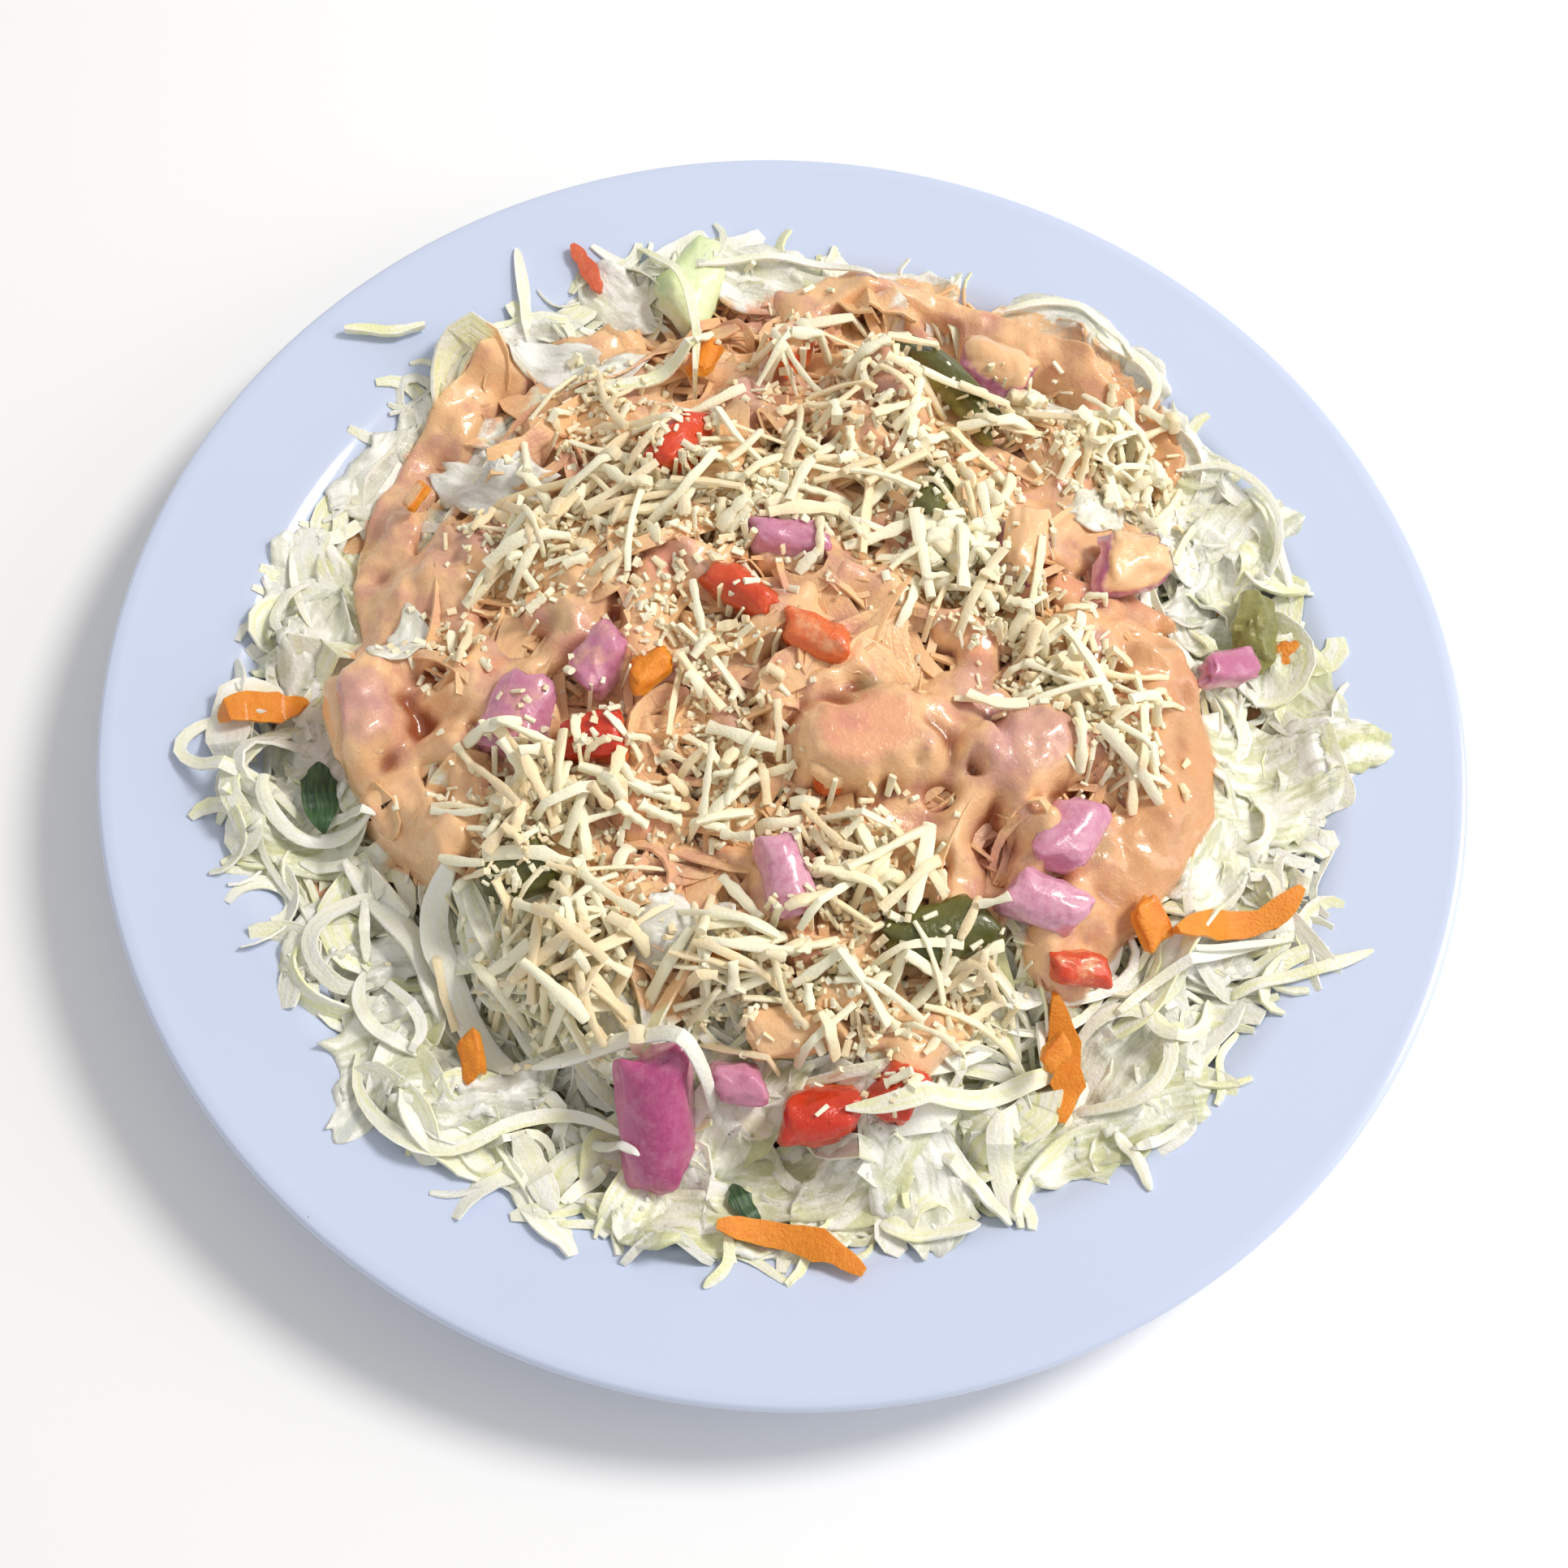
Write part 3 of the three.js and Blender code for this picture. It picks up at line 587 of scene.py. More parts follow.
def dice_look(name, outer, inner, edge, pale, roughness, bump_size, bump_depth, scatter):
    """A diced vegetable: the skin side is `outer`, paler with the piece's tone, the cut sides are `inner`,
    and its own height runs from -1 to 1 in the third part of `local`. Dressing lies on it by its coat."""
    coat = 0.4 if roughness < 0.3 else 0.1
    look = Look(name, roughness, Subsurface_Weight=scatter, Subsurface_Scale=0.002, Coat_Weight=coat)
    look.shader.inputs["Coat Roughness"].default_value = 0.08
    look.shader.inputs["Subsurface Radius"].default_value = (1.0, 0.6, 0.5)
    local = look.value("local", "Vector")
    height = look.sum(look.part(local, "Z"), look.sum(look.noise(3, 4), 1.2, "MULTIPLY"))
    across = look.sum(look.part(local, "Y"), look.sum(look.noise(2, 3), 0.4, "MULTIPLY"))
    skin = look.mix(look.range(look.sum(across, 1, "PINGPONG"), 0.35, 1), outer, edge)
    skin = look.mix(look.value("tone"), skin, inner)
    base = look.mix(look.range(height, 0.3, 1.0), inner, skin)
    base = look.mix(look.range(look.noise(1.6, 5, 0.7), 0.4, 0.66, 0, 0.5), base, edge)
    # Painted highlights: pale blotches that stand in for the wet gloss of the cut pieces
    painted_wet_gloss = look.range(look.noise(5, 5, 0.7), 0.5, 0.64, 0, 0.14)
    base = look.mix(painted_wet_gloss, base, pale)
    spread = look.sum(look.value("coat"), look.sum(look.noise(3.5, 4), look.part(local, "Z")), "MULTIPLY")
    base = look.mix(look.range(spread, 0.55, 0.75), base, look.mix(look.noise(4), SAUCE, SAUCE_PALE))
    look.colour(base)
    look.bump(look.noise(bump_size, 4, 0.6), bump_depth)
    return look.material


def herb_look():
    look = Look("green_herb", 0.4, Subsurface_Weight=0.2, Subsurface_Scale=0.001)
    veins = look.noise(0.7, 3, 0.6, look.value("grain", "Vector"))
    look.colour(look.mix(look.range(veins, 0.3, 0.7), (0.015, 0.05, 0.02), (0.06, 0.14, 0.05)))
    look.bump(veins, 0.25)
    return look.material


PLATE_LOOK = melamine_look()
SHRED_LOOK = cabbage_look("cabbage_shreds", (0.90, 0.90, 0.76), (0.86, 0.87, 0.52), 0)
LEAF_LOOK = cabbage_look("cabbage_leaves", (0.94, 0.95, 0.82), (0.89, 0.92, 0.52), 0.5, 2.5)
SAUCE_LOOK = sauce_look()
CORE_LOOK = core_look()
CHEESE_LOOK = cheese_look()
HERB_LOOK = herb_look()
ONION_LOOK = dice_look("red_onion", (0.42, 0.06, 0.20), (0.76, 0.42, 0.53), (0.54, 0.13, 0.29),
                       (0.84, 0.58, 0.64), 0.24, 1.4, 0.2, 0.3)
PEPPER_LOOK = dice_look("green_pepper", (0.09, 0.095, 0.02), (0.33, 0.31, 0.08), (0.12, 0.12, 0.02),
                        (0.16, 0.13, 0.04), 0.25, 1.2, 0.3, 0.1)
TOMATO_LOOK = dice_look("tomato", (0.66, 0.03, 0.008), (0.84, 0.20, 0.05), (0.62, 0.04, 0.01),
                        (0.88, 0.26, 0.12), 0.2, 1.3, 0.35, 0.3)
CARROT_LOOK = dice_look("carrot", (0.86, 0.28, 0.012), (0.90, 0.38, 0.03), (0.78, 0.20, 0.008),
                        (0.92, 0.44, 0.06), 0.35, 0.6, 0.35, 0.3)
RED_SHAVING_LOOK = dice_look("red_shaving", (0.72, 0.14, 0.06), (0.82, 0.26, 0.13), (0.62, 0.08, 0.03),
                             (0.88, 0.40, 0.26), 0.3, 0.8, 0.3, 0.3)
STEM_LOOK = dice_look("cabbage_stem", (0.80, 0.88, 0.55), (0.91, 0.94, 0.76), (0.62, 0.78, 0.34),
                      (0.95, 0.96, 0.86), 0.3, 1.2, 0.2, 0.3)
PALE_LEAF_LOOK = cabbage_look("pale_leaves", (0.90, 0.91, 0.82), (0.86, 0.90, 0.62), 0.35, 2.5)


# Plate


def plate_profile():
    """The plate's half section from the axis under it, round the foot ring and the rim, and back over the
    top to the axis: straight stretches, a smooth wall, and an arc round the rim's edge."""
    wall = np.linspace(WELL_RADIUS, LIP_RADIUS, 14)
    rim_round = 1.3
    middle_r, middle_z = PLATE_RADIUS - rim_round, PLATE_HEIGHT - 1.35
    angles = np.radians(np.linspace(-80, 80, 9))
    under = [(r, float(plate_top(r)) - PLATE_WALL) for r in np.append(wall, [112, 119, PLATE_RADIUS - 1.6])]
    rim = [(middle_r + rim_round * math.cos(a), middle_z + rim_round * math.sin(a)) for a in angles]
    over = [(r, float(plate_top(r))) for r in np.append([PLATE_RADIUS - 3, 119, 112], wall[::-1])]
    foot = [(0.05, FOOT_RECESS), (30, FOOT_RECESS), (FOOT_INNER, FOOT_RECESS), (FOOT_INNER + 0.3, 1.2)]
    foot += [(FOOT_INNER + 1.2, 0.05), (FOOT_OUTER - 1.2, 0.05), (FOOT_OUTER - 0.3, 1.2)]
    foot.append((FOOT_OUTER, FOOT_RECESS))
    well = [(r, WELL_FLOOR) for r in (60, 30, 0.05)]
    return np.array(foot + under + rim + over + well)


def make_plate():
    """The section turned round the axis."""
    profile = plate_profile()
    angle = np.linspace(0, 2 * math.pi, PLATE_STEPS, endpoint=False)
    x, y = profile[:, :1] * np.cos(angle), profile[:, :1] * np.sin(angle)
    points = np.stack([x, y, np.repeat(profile[:, 1:], len(angle), 1)], -1)
    faces = tube_faces(1, len(profile), len(angle))
    make_piece("plate_glaze", points, faces, PLATE_LOOK, "melamine", ["plate"])


# Dressing: tracks where it was poured thick, each with its half width, its thickness and its line

SAUCE_TRACKS = [
    (6.0, 2.6, [(-62, 68), (-72, 54), (-79, 36), (-80, 24), (-76, 6), (-75, -10), (-72, -22),
                (-66, -32), (-58, -38)]),
    (4.0, 1.8, [(-54, 70), (-64, 66), (-70, 56)]),
    (5.0, 1.8, [(-6, 90), (4, 95), (15, 97), (24, 95)]),
    (7.0, 2.4, [(32, 90), (44, 86), (52, 80), (60, 73), (66, 62)]),
    (8.0, 2.4, [(62, 14), (70, 2), (71, -12), (66, -24), (58, -34), (52, -44)]),
    (7.0, 1.8, [(28, -10), (30, -20), (24, -27), (14, -33)]),
    (6.0, 1.5, [(-14, -38), (-4, -44), (4, -42)]),
    (5.0, 1.4, [(33, -58), (26, -66)]),
    (4.0, 1.6, [(-64, 14), (-58, 2), (-60, -12)]),
]

# Where the dressing lies thicker, or thinner: x, y, reach and change
SAUCE_POOLS = [
    (-78, 20, 9, 1.0), (-70, -18, 14, 1.6), (-68, 48, 8, 0.8), (62, -10, 18, 1.0), (68, 16, 12, 1.0),
    (12, -14, 16, 1.4), (40, -12, 14, 1.2), (60, 32, 12, 1.2), (22, 66, 16, 1.0), (-14, 66, 14, 0.8),
    (40, 82, 8, 0.8), (2, 34, 14, 0.6), (-24, -46, 24, -2.4), (-40, -34, 12, -1.8), (20, -40, 14, -1.6),
    (0, -60, 16, -2.0), (-44, -50, 14, -2.2), (-30, 30, 16, -0.8), (50, 2, 8, -1.0), (-58, 58, 14, -2.2),
    (-56, 34, 13, -1.6), (-52, 8, 12, -1.4), (20, 4, 10, -1.4), (38, 52, 10, -1.2), (-20, 84, 14, -1.6),
    (8, 84, 12, -1.2), (58, 60, 12, -2.2), (44, 74, 8, -1.2), (66, 40, 10, -1.6), (-60, -6, 7, -1.4),
]


def along_line(x, y, corners):
    """Distance from each point to a line of straight pieces."""
    corners = np.array(corners, float)
    best = np.full(np.shape(x), 1e9)
    for (ax, ay), (bx, by) in zip(corners[:-1], corners[1:]):
        dx, dy = bx - ax, by - ay
        share = np.clip(((x - ax) * dx + (y - ay) * dy) / (dx * dx + dy * dy), 0, 1)
        best = np.minimum(best, np.hypot(x - ax - share * dx, y - ay - share * dy))
    return best


def sauce_cover(x, y):
    """Share of dressing at a point: 1 within an uneven pool and along the tracks, and none beyond them."""
    away = np.hypot(x - SAUCE_CENTRE[0], (y - SAUCE_CENTRE[1]) * 0.94)
    waver = 8 * value_noise(x, y, 15, 3) + 4 * value_noise(x, y, 6, 4)
    cover = 1 - smoothstep(SAUCE_RADIUS - 9 + waver, SAUCE_RADIUS + waver, away)
    for half, _, corners in SAUCE_TRACKS:
        reach = along_line(x, y, corners) + waver * 0.15
        cover = np.maximum(cover, 1 - smoothstep(half - 1, half + 1, reach))
    return cover


# Diced vegetables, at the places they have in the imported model: the middle's x and y, the turn in degrees,
# length, width and thickness, the sag of its ends, the roof over its width, how far its middle stands off
# what it lies on, its tip and pitch in degrees, its tone from skin to flesh, and its coat of dressing.

ONIONS = [
    (-15, -79, 96, 24, 12.5, 8, 0, 3, 2.6, 0, 8, 0.0, 0.0),
    (59, 31, 20, 14, 12, 7, 0, 2, 2.4, 14, 0, 0.2, 0.6),
    (49, -26, 65, 13, 10, 7, 0, 2, 2.6, 0, 0, 0.7, 0.3),
    (46, -38, -15, 14, 9, 7, 0, 2, 2.8, 0, 0, 0.9, 0.2),
    (-47, -15, 75, 15, 11, 6, 0, 2, 1.6, 0, 0, 0.6, 0.4),
    (-75, -15, 110, 17, 12, 7, 0, 3, 1.8, 0, 0, 0.4, 1.1),
    (-34, -3, 60, 11, 8, 7, 0, 2, 2, 0, 0, 0.5, 0.4),
    (-4, 24, 5, 13, 6.5, 6, 0, 1, 1.8, 0, 0, 0.6, 0.0),
    (11, 63, 110, 15, 8, 8, 0, 2, 2.2, 0, 0, 0.3, 0.9),
    (32, 75, 150, 15, 12, 8, 0, 3, 2, 0, 0, 0.3, 0.6),
    (38, 28, 80, 15, 8, 9, 0, 2, 2.2, 0, 0, 0.4, 0.7),
    (2, -40, 115, 14, 8, 6, 0, 2, 1.6, 0, 0, 0.9, 0.2),
    (-2, -73, 10, 8, 7, 6, 0, 1, 1.8, 0, 0, 0.5, 0.2),
    (78, 15, 25, 13, 6, 5, 0, 1, 2.2, 0, 0, 0.3, 0.3),
    (41, -12, 35, 17, 13, 7.4, 0, 2, 1.4, 0, 0, 0.4, 1.0),
]
PEPPERS = [
    (22, 68, -50, 31, 5.5, 6, 3, 0, 1.8, 0, 0, 0.0, 0.3),
    (84, 27, 60, 14, 10, 6, 2, 0, 2.2, 20, 0, 0.7, 0.0),
    (29, -45, 25, 17, 10, 5, 0, 2, 1.8, 0, 0, 0.0, 0.0),
    (14, -57, 10, 10, 6, 5, 0, 1, 1.4, 0, 0, 0.1, 0.5),
    (5, -64, 15, 14, 9, 5, 0, 2, 2, 0, 0, 0.2, 0.95),
    (-43, -42, 30, 12, 10, 6, 0, 2, 1.2, 0, 0, 0.0, 0.0),
    (22, 37, 70, 12, 6, 5, 0, 1, 1.2, 0, 0, 0.1, 0.3),
]
TOMATOES = [
    (-26, 42, 75, 14, 8.5, 7, 0, 2, 2, 0, 0, 0.2, 0.3),
    (-10, 12, -35, 14, 7, 6, 0, 2, 2, 0, 0, 0.3, 0.3),
    (3, 4, -15, 12, 7, 6, 0, 2, 2, 0, 0, 0.9, 0.4),
    (12, -76, 15, 13, 9, 8, 0, 3, 2.4, 0, 0, 0.0, 0.0),
    (24, -71, 70, 10, 8, 8, 0, 2, 2.2, 0, 0, 0.1, 0.0),
    (-33, -18, 10, 11, 8, 6, 0, 1, 1.2, 0, 0, 0.0, 0.0),
    (13, -14, 20, 18, 14, 7.4, 0, 2, 1.4, 0, 0, 0.5, 1.0),
    (53, -47, 0, 10, 6, 5, 0, 1, 1.6, 0, 0, 0.2, 0.4),
    (-8, 71, 60, 9, 8, 7, 0, 1, 2, 0, 0, 0.2, 0.5),
]
CARROTS = [
    (65, -37, -50, 8, 6, 3, 0, 0, 2, 0, 0, 0.2, 0.2),
    (-25, -5, 40, 8, 6, 4, 0, 1, 1.8, 0, 0, 0.2, 0.0),
    (-24, 67, 80, 9, 5, 3, 0, 1, 1.6, 0, 0, 0.2, 0.1),
]


def slope_axes(x, y, turn):
    """Axes of a piece that lies on the slope at x, y: along its length, across it, and off the slope."""
    reach = SLOPE_REACH
    fall_x = ground(x - reach, y) - ground(x + reach, y)
    fall_y = ground(x, y - reach) - ground(x, y + reach)
    rise = unit(np.array([fall_x, fall_y, 2.0 * reach]))
    along = np.array([math.cos(math.radians(turn)), math.sin(math.radians(turn)), 0])
    along = unit(along - rise * along.dot(rise))
    return along, np.cross(rise, along), rise


def chunk_points(row, seed, rings, steps):
    """A boxy ball: the sides of a sphere raised to a power, stretched, roofed and sagged, with a little
    relief. Gives its points, [rings, steps, 3], and the same before it was laid, from -1 to 1."""
    x, y, turn, length, width, thick, bow, roof, rise_by, tip, pitch, _, _ = row
    lat = np.linspace(-1.55, 1.55, rings)[:, None]
    lon = np.linspace(0, 2 * math.pi, steps, endpoint=False)[None, :]
    flat = lambda v: np.sign(v) * np.abs(v) ** CHUNK_SQUARENESS
    a, b, c = np.cos(lat) * np.cos(lon), np.cos(lat) * np.sin(lon), np.sin(lat) * np.ones_like(lon)
    a, b, c = flat(a), flat(b), flat(c)
    uneven = 1 + 0.13 * value_noise(a * 6 + seed * 9, b * 6 + c * 4, 3, seed)
    uneven = uneven + 0.07 * value_noise(b * 6, c * 6 + a * 5, 1.3, seed + 5)
    shear, narrow = 0.4 * math.sin(seed * 3.7), 0.14 * math.sin(seed * 2.4)
    p = (a + shear * b * width / length) * length / 2 * uneven
    q = b * width / 2 * uneven * (1 + narrow * a)
    r = c * thick / 2 * uneven + bow * (0.5 - a * a) + roof * (0.5 - b * b)
    along, across, rise = slope_axes(x, y, turn)
    lean, nod = math.radians(tip), math.radians(-pitch)
    q, r = q * math.cos(lean) - r * math.sin(lean), q * math.sin(lean) + r * math.cos(lean)
    p, r = p * math.cos(nod) + r * math.sin(nod), r * math.cos(nod) - p * math.sin(nod)
    middle = np.array([x, y, float(ground(x, y))]) + rise * rise_by
    points = middle + p[..., None] * along + q[..., None] * across + r[..., None] * rise
    return points, np.stack([a, b, c], -1)


# Lumps that aren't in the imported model: crumbs of soft cheese, a piece of cabbage stem, bits of carrot
CURDS = [
    (24, 27, 4.6, 16), (39, 65, 3.2, 9), (52, 62, 2.8, 8), (63, 57, 3.2, 9), (31, 31, 2.4, 6),
    (-45, -30, 2.8, 7), (-38, -28, 2.2, 5), (16, -38, 2.2, 5), (50, 2, 2.6, 6), (-6, 30, 2.4, 5),
]
STEMS = [(-30, 93, 70, 17, 12, 8, 0, 2, 3, 0, 0, 0.3, 0.0)]
CARROT_BITS = [
    (-73, 33, 60, 6, 3, 2.5, 0, 0, 2.6, 0, 0, 0.3, 0.5),
    (-46, -71, 100, 8, 4, 2.5, 0, 0, 3.6, 0, 0, 0.3, 0.0),
    (50, -60, 60, 6, 4, 2.5, 0, 0, 3.4, 0, 0, 0.3, 0.2),
    (-6, -54, 20, 5, 3, 2.5, 0, 0, 3.4, 0, 0, 0.3, 0.3),
    (93, 25, 20, 7, 5, 3, 0, 0, 3, 0, 0, 0.3, 0.0),
]


def crumbled(clusters, seed):
    """Rows of small lumps: each cluster of x, y, radius and count, broken up."""
    draw = np.random.default_rng(seed)
    rows = []
    for x, y, radius, count in clusters:
        for _ in range(count):
            angle, away = draw.uniform(0, 2 * math.pi), radius * math.sqrt(draw.uniform())
            size = draw.uniform(1.6, 3.6)
            lift = 2.0 + 1.6 * (1 - away / radius)
            spot = (x + away * math.cos(angle), y + away * math.sin(angle), draw.uniform(0, 180))
            rows.append((*spot, size * 1.3, size, size * 0.8, 0, 0.3, lift, 0, 0, draw.uniform(), 0.0))
    return rows


def chunks_piece(name, rows, look, slot, seed, rings=16, steps=28, replaced=()):
    """The lumps of all rows as one object. The small ones need fewer points than the dice."""
    chunks = [chunk_points(row, seed + number, rings, steps) for number, row in enumerate(rows)]
    points, local = [np.stack(part) for part in zip(*chunks)]
    tone, coat = [np.repeat([row[column] for row in rows], rings * steps) for column in (-2, -1)]
    values = {"local": local, "tone": tone, "coat": coat}
    faces = tube_faces(len(rows), rings, steps)
    make_piece(name, points, faces, look, slot, replaced, values, CREASE)


def make_dice(kind, rows, look, slot):
    """Every piece of one kind, each in place of its own node."""
    for number, row in enumerate(rows, 1):
        chunks_piece(f"{kind}_cut_{number}", [row], look, slot, number, 22, 40, [f"{kind}_{number}"])


def stamp_dice(relief, rows, lift=0.0):
    """Raises the relief to the upper side of every piece of a table."""
    for number, row in enumerate(rows, 1):
        points, _ = chunk_points(row, number, 60, 90)
        relief.raise_to(points[..., 0].ravel(), points[..., 1].ravel(), points[..., 2].ravel() + lift)


# Cabbage


def strew_shreds(relief, seed, count):
    """Shreds laid one by one where the heap is still too low, and a loose fringe round it."""
    draw = np.random.default_rng(seed)
    strips = []
    u = np.linspace(0, 1, SHRED_STATIONS)
    for _ in range(count * 8):
        if len(strips) == count:
            break
        angle, radius = draw.uniform(0, 2 * math.pi), SHRED_REACH * math.sqrt(draw.uniform(0, 1))
        x, y = radius * math.cos(angle), radius * math.sin(angle)
        edge = heap_edge(angle) + FRINGE
        want = max(heap_top(x, y) - 1.0, plate_top(radius) + 7 * (1 - radius / edge))
        if radius > edge or relief.at(x, y) > want:
            continue
        fringe = radius > edge - FRINGE - 10
        loop = draw.uniform() < (0.6 if fringe else 0.3)
        length = draw.uniform(18, 34) if loop else draw.uniform(14, 22 if fringe else 44)
        sizes = [draw.uniform(1.1, 1.9), draw.uniform(1.9, 3.2), draw.uniform(4.2, 8)]
        width = draw.choice(sizes, p=[0.3, 0.4, 0.3] if fringe else [0.52, 0.4, 0.08])
        bend = draw.choice([-1, 1]) * (draw.uniform(2.2, 4.8) if loop else draw.uniform(0.3, 1.8))
        heading = angle + draw.uniform(1.0, 2.1) if radius > 70 else draw.uniform(0, 6.3)
        curl, waver = draw.uniform(0, 0.6), draw.uniform()
        px, py, turn = middle_line(x, y, heading, length, bend, curl, waver, SHRED_STATIONS)
        if np.hypot(px, py).max() > edge + 6:
            continue
        ragged = 1 + 0.2 * np.interp(u, np.linspace(0, 1, 7), draw.uniform(-1, 1, 7))
        half = width / 2 * (1 - 0.45 * np.abs(2 * u - 1) ** 5) * ragged
        thick = draw.uniform(0.35, 0.65)
        arch = draw.uniform(1, 5) if draw.uniform() < 0.15 else 0
        line = settle(relief, px, py, turn, half, thick, 6, arch, sag=0.15)
        line = np.minimum(line, TOP_LIMIT - 0.3 * width)
        twist = draw.uniform(-0.7, 0.7) + draw.uniform(-0.9, 0.9) * u
        cup = draw.uniform(-0.15, 0.15) * width
        strips.append(strip(px, py, line, half, thick, twist, cup, draw.uniform()))
    return strips


# Shreds that stand out in the photograph, over the others: width, arch, tone and line
SEEN_SHREDS = [
    (2.4, 1.0, 0.4, [(-101, -13), (-107, -17), (-109, -22), (-104, -25), (-99, -25), (-91, -28),
                     (-84, -32)]),
    (2.6, 1.5, 0.3, [(-91, -24), (-91, -31), (-85, -36), (-79, -35), (-71, -33)]),
    (1.8, 1.5, 0.2, [(-83, -34), (-79, -31), (-70, -33)]),
    (2.2, 0.5, 0.3, [(-84, -39), (-77, -39), (-73, -37)]),
    (4.6, 2.0, 0.0, [(-76, -38), (-70, -44), (-63, -50), (-59, -54), (-56, -61), (-52, -66), (-48, -70)]),
    (5.0, 2.5, 0.0, [(-54, -41), (-58, -47), (-57, -53), (-53, -59), (-50, -65), (-45, -71), (-40, -73)]),
    (3.4, 1.0, 0.1, [(-54, -53), (-47, -58), (-42, -61), (-36, -62)]),
    (3.0, 2.5, 0.2, [(-70, -44), (-76, -48), (-79, -53), (-77, -59), (-72, -62), (-67, -60)]),
    (1.8, 1.5, 0.1, [(-71, -45), (-70, -51), (-69, -56)]),
    (2.4, 1.0, 0.3, [(-69, -58), (-69, -64), (-65, -69), (-60, -71), (-55, -73)]),
    (2.0, 2.0, 0.2, [(-66, -59), (-60, -63), (-56, -68), (-58, -73)]),
    (2.6, 1.0, 0.5, [(-67, -73), (-66, -80), (-60, -86), (-53, -89), (-46, -88), (-40, -83),
                     (-33, -80), (-26, -80), (-20, -83)]),
    (1.8, 1.0, 0.2, [(-28, -80), (-26, -84), (-21, -85), (-17, -87)]),
    (2.8, 4.5, 0.0, [(-37, -73), (-28, -71), (-21, -69), (-13, -69), (-8, -73), (-5, -79)]),
    (4.8, 0.5, 0.3, [(-38, -84), (-34, -90), (-30, -96)]),
    (2.6, 0.5, 0.4, [(-29, -95), (-25, -90), (-22, -87)]),
    (2.0, 0.5, 0.8, [(-1, -97), (0, -102), (-4, -106)]),
    (3.6, 2.0, 0.6, [(16, -77), (23, -76), (32, -72), (41, -69), (48, -65), (55, -60)]),
    (4.4, 1.5, 0.3, [(43, -71), (43, -78), (47, -89)]),
    (3.0, 1.0, 0.4, [(33, -79), (40, -83), (46, -90)]),
    (2.6, 2.5, 0.4, [(55, -61), (57, -54), (64, -50), (71, -53), (72, -60), (68, -66), (62, -68),
                     (55, -69)]),
    (2.2, 1.0, 0.5, [(66, -49), (70, -56), (78, -53), (79, -46)]),
    (2.2, 0.5, 0.4, [(63, -72), (67, -77), (69, -82)]),
    (1.8, 0.5, 0.3, [(66, -75), (71, -73), (75, -69)]),
    (1.9, 1.5, 0.3, [(61, -53), (69, -45), (78, -39), (91, -34)]),
    (2.4, 0.5, 0.9, [(82, -46), (86, -43), (93, -41), (101, -38), (107, -35)]),
    (1.3, 0.5, 0.1, [(71, -41), (82, -37), (94, -34)]),
    (1.5, 1.0, 0.3, [(84, 58), (89, 50), (91, 42), (93, 34)]),
    (1.6, 1.5, 0.3, [(70, 61), (80, 63), (89, 55), (90, 45), (88, 38)]),
    (2.4, 0.5, 0.4, [(-65, 95), (-62, 85), (-60, 75)]),
    (1.8, 4.0, 0.9, [(-41, 99), (-34, 93), (-29, 86), (-26, 75), (-25, 61)]),
    (2.8, 2.0, 0.8, [(-48, 60), (-38, 60), (-30, 64), (-25, 69)]),
    (1.5, 1.0, 0.3, [(-90, 6), (-95, 14), (-97, 22)]),
    (2.0, 1.0, 0.3, [(-94, 2), (-98, 8), (-93, 17)]),
    (2.2, 1.0, 0.4, [(52, 86), (60, 86), (66, 80), (64, 74)]),
    (1.6, 0.8, 0.3, [(34, 93), (46, 97), (56, 91), (60, 84)]),
    (1.8, 1.5, 0.3, [(-28, 94), (-14, 100), (0, 99), (8, 95)]),
]


def seen_shreds(relief):
    """The shreds of SEEN_SHREDS, tapered at both ends and laid over the rest."""
    draw = np.random.default_rng(21)
    u = np.linspace(0, 1, SEEN_STATIONS)
    strips = []
    for width, arch, tone, corners in SEEN_SHREDS:
        px, py, turn = traced_line(corners, SEEN_STATIONS)
        ragged = 1 + 0.12 * np.interp(u, np.linspace(0, 1, 9), draw.uniform(-1, 1, 9))
        half = width / 2 * (1 - 0.75 * np.abs(2 * u - 1) ** 5) * ragged
        thick = 0.5 + 0.05 * width
        line = settle(relief, px, py, turn, half, thick, 12, arch)
        twist = draw.uniform(-0.3, 0.3) + draw.uniform(-0.5, 0.5) * u
        strips.append(strip(px, py, line, half, thick, twist, draw.uniform(-0.1, 0.1) * width, tone))
    return strips


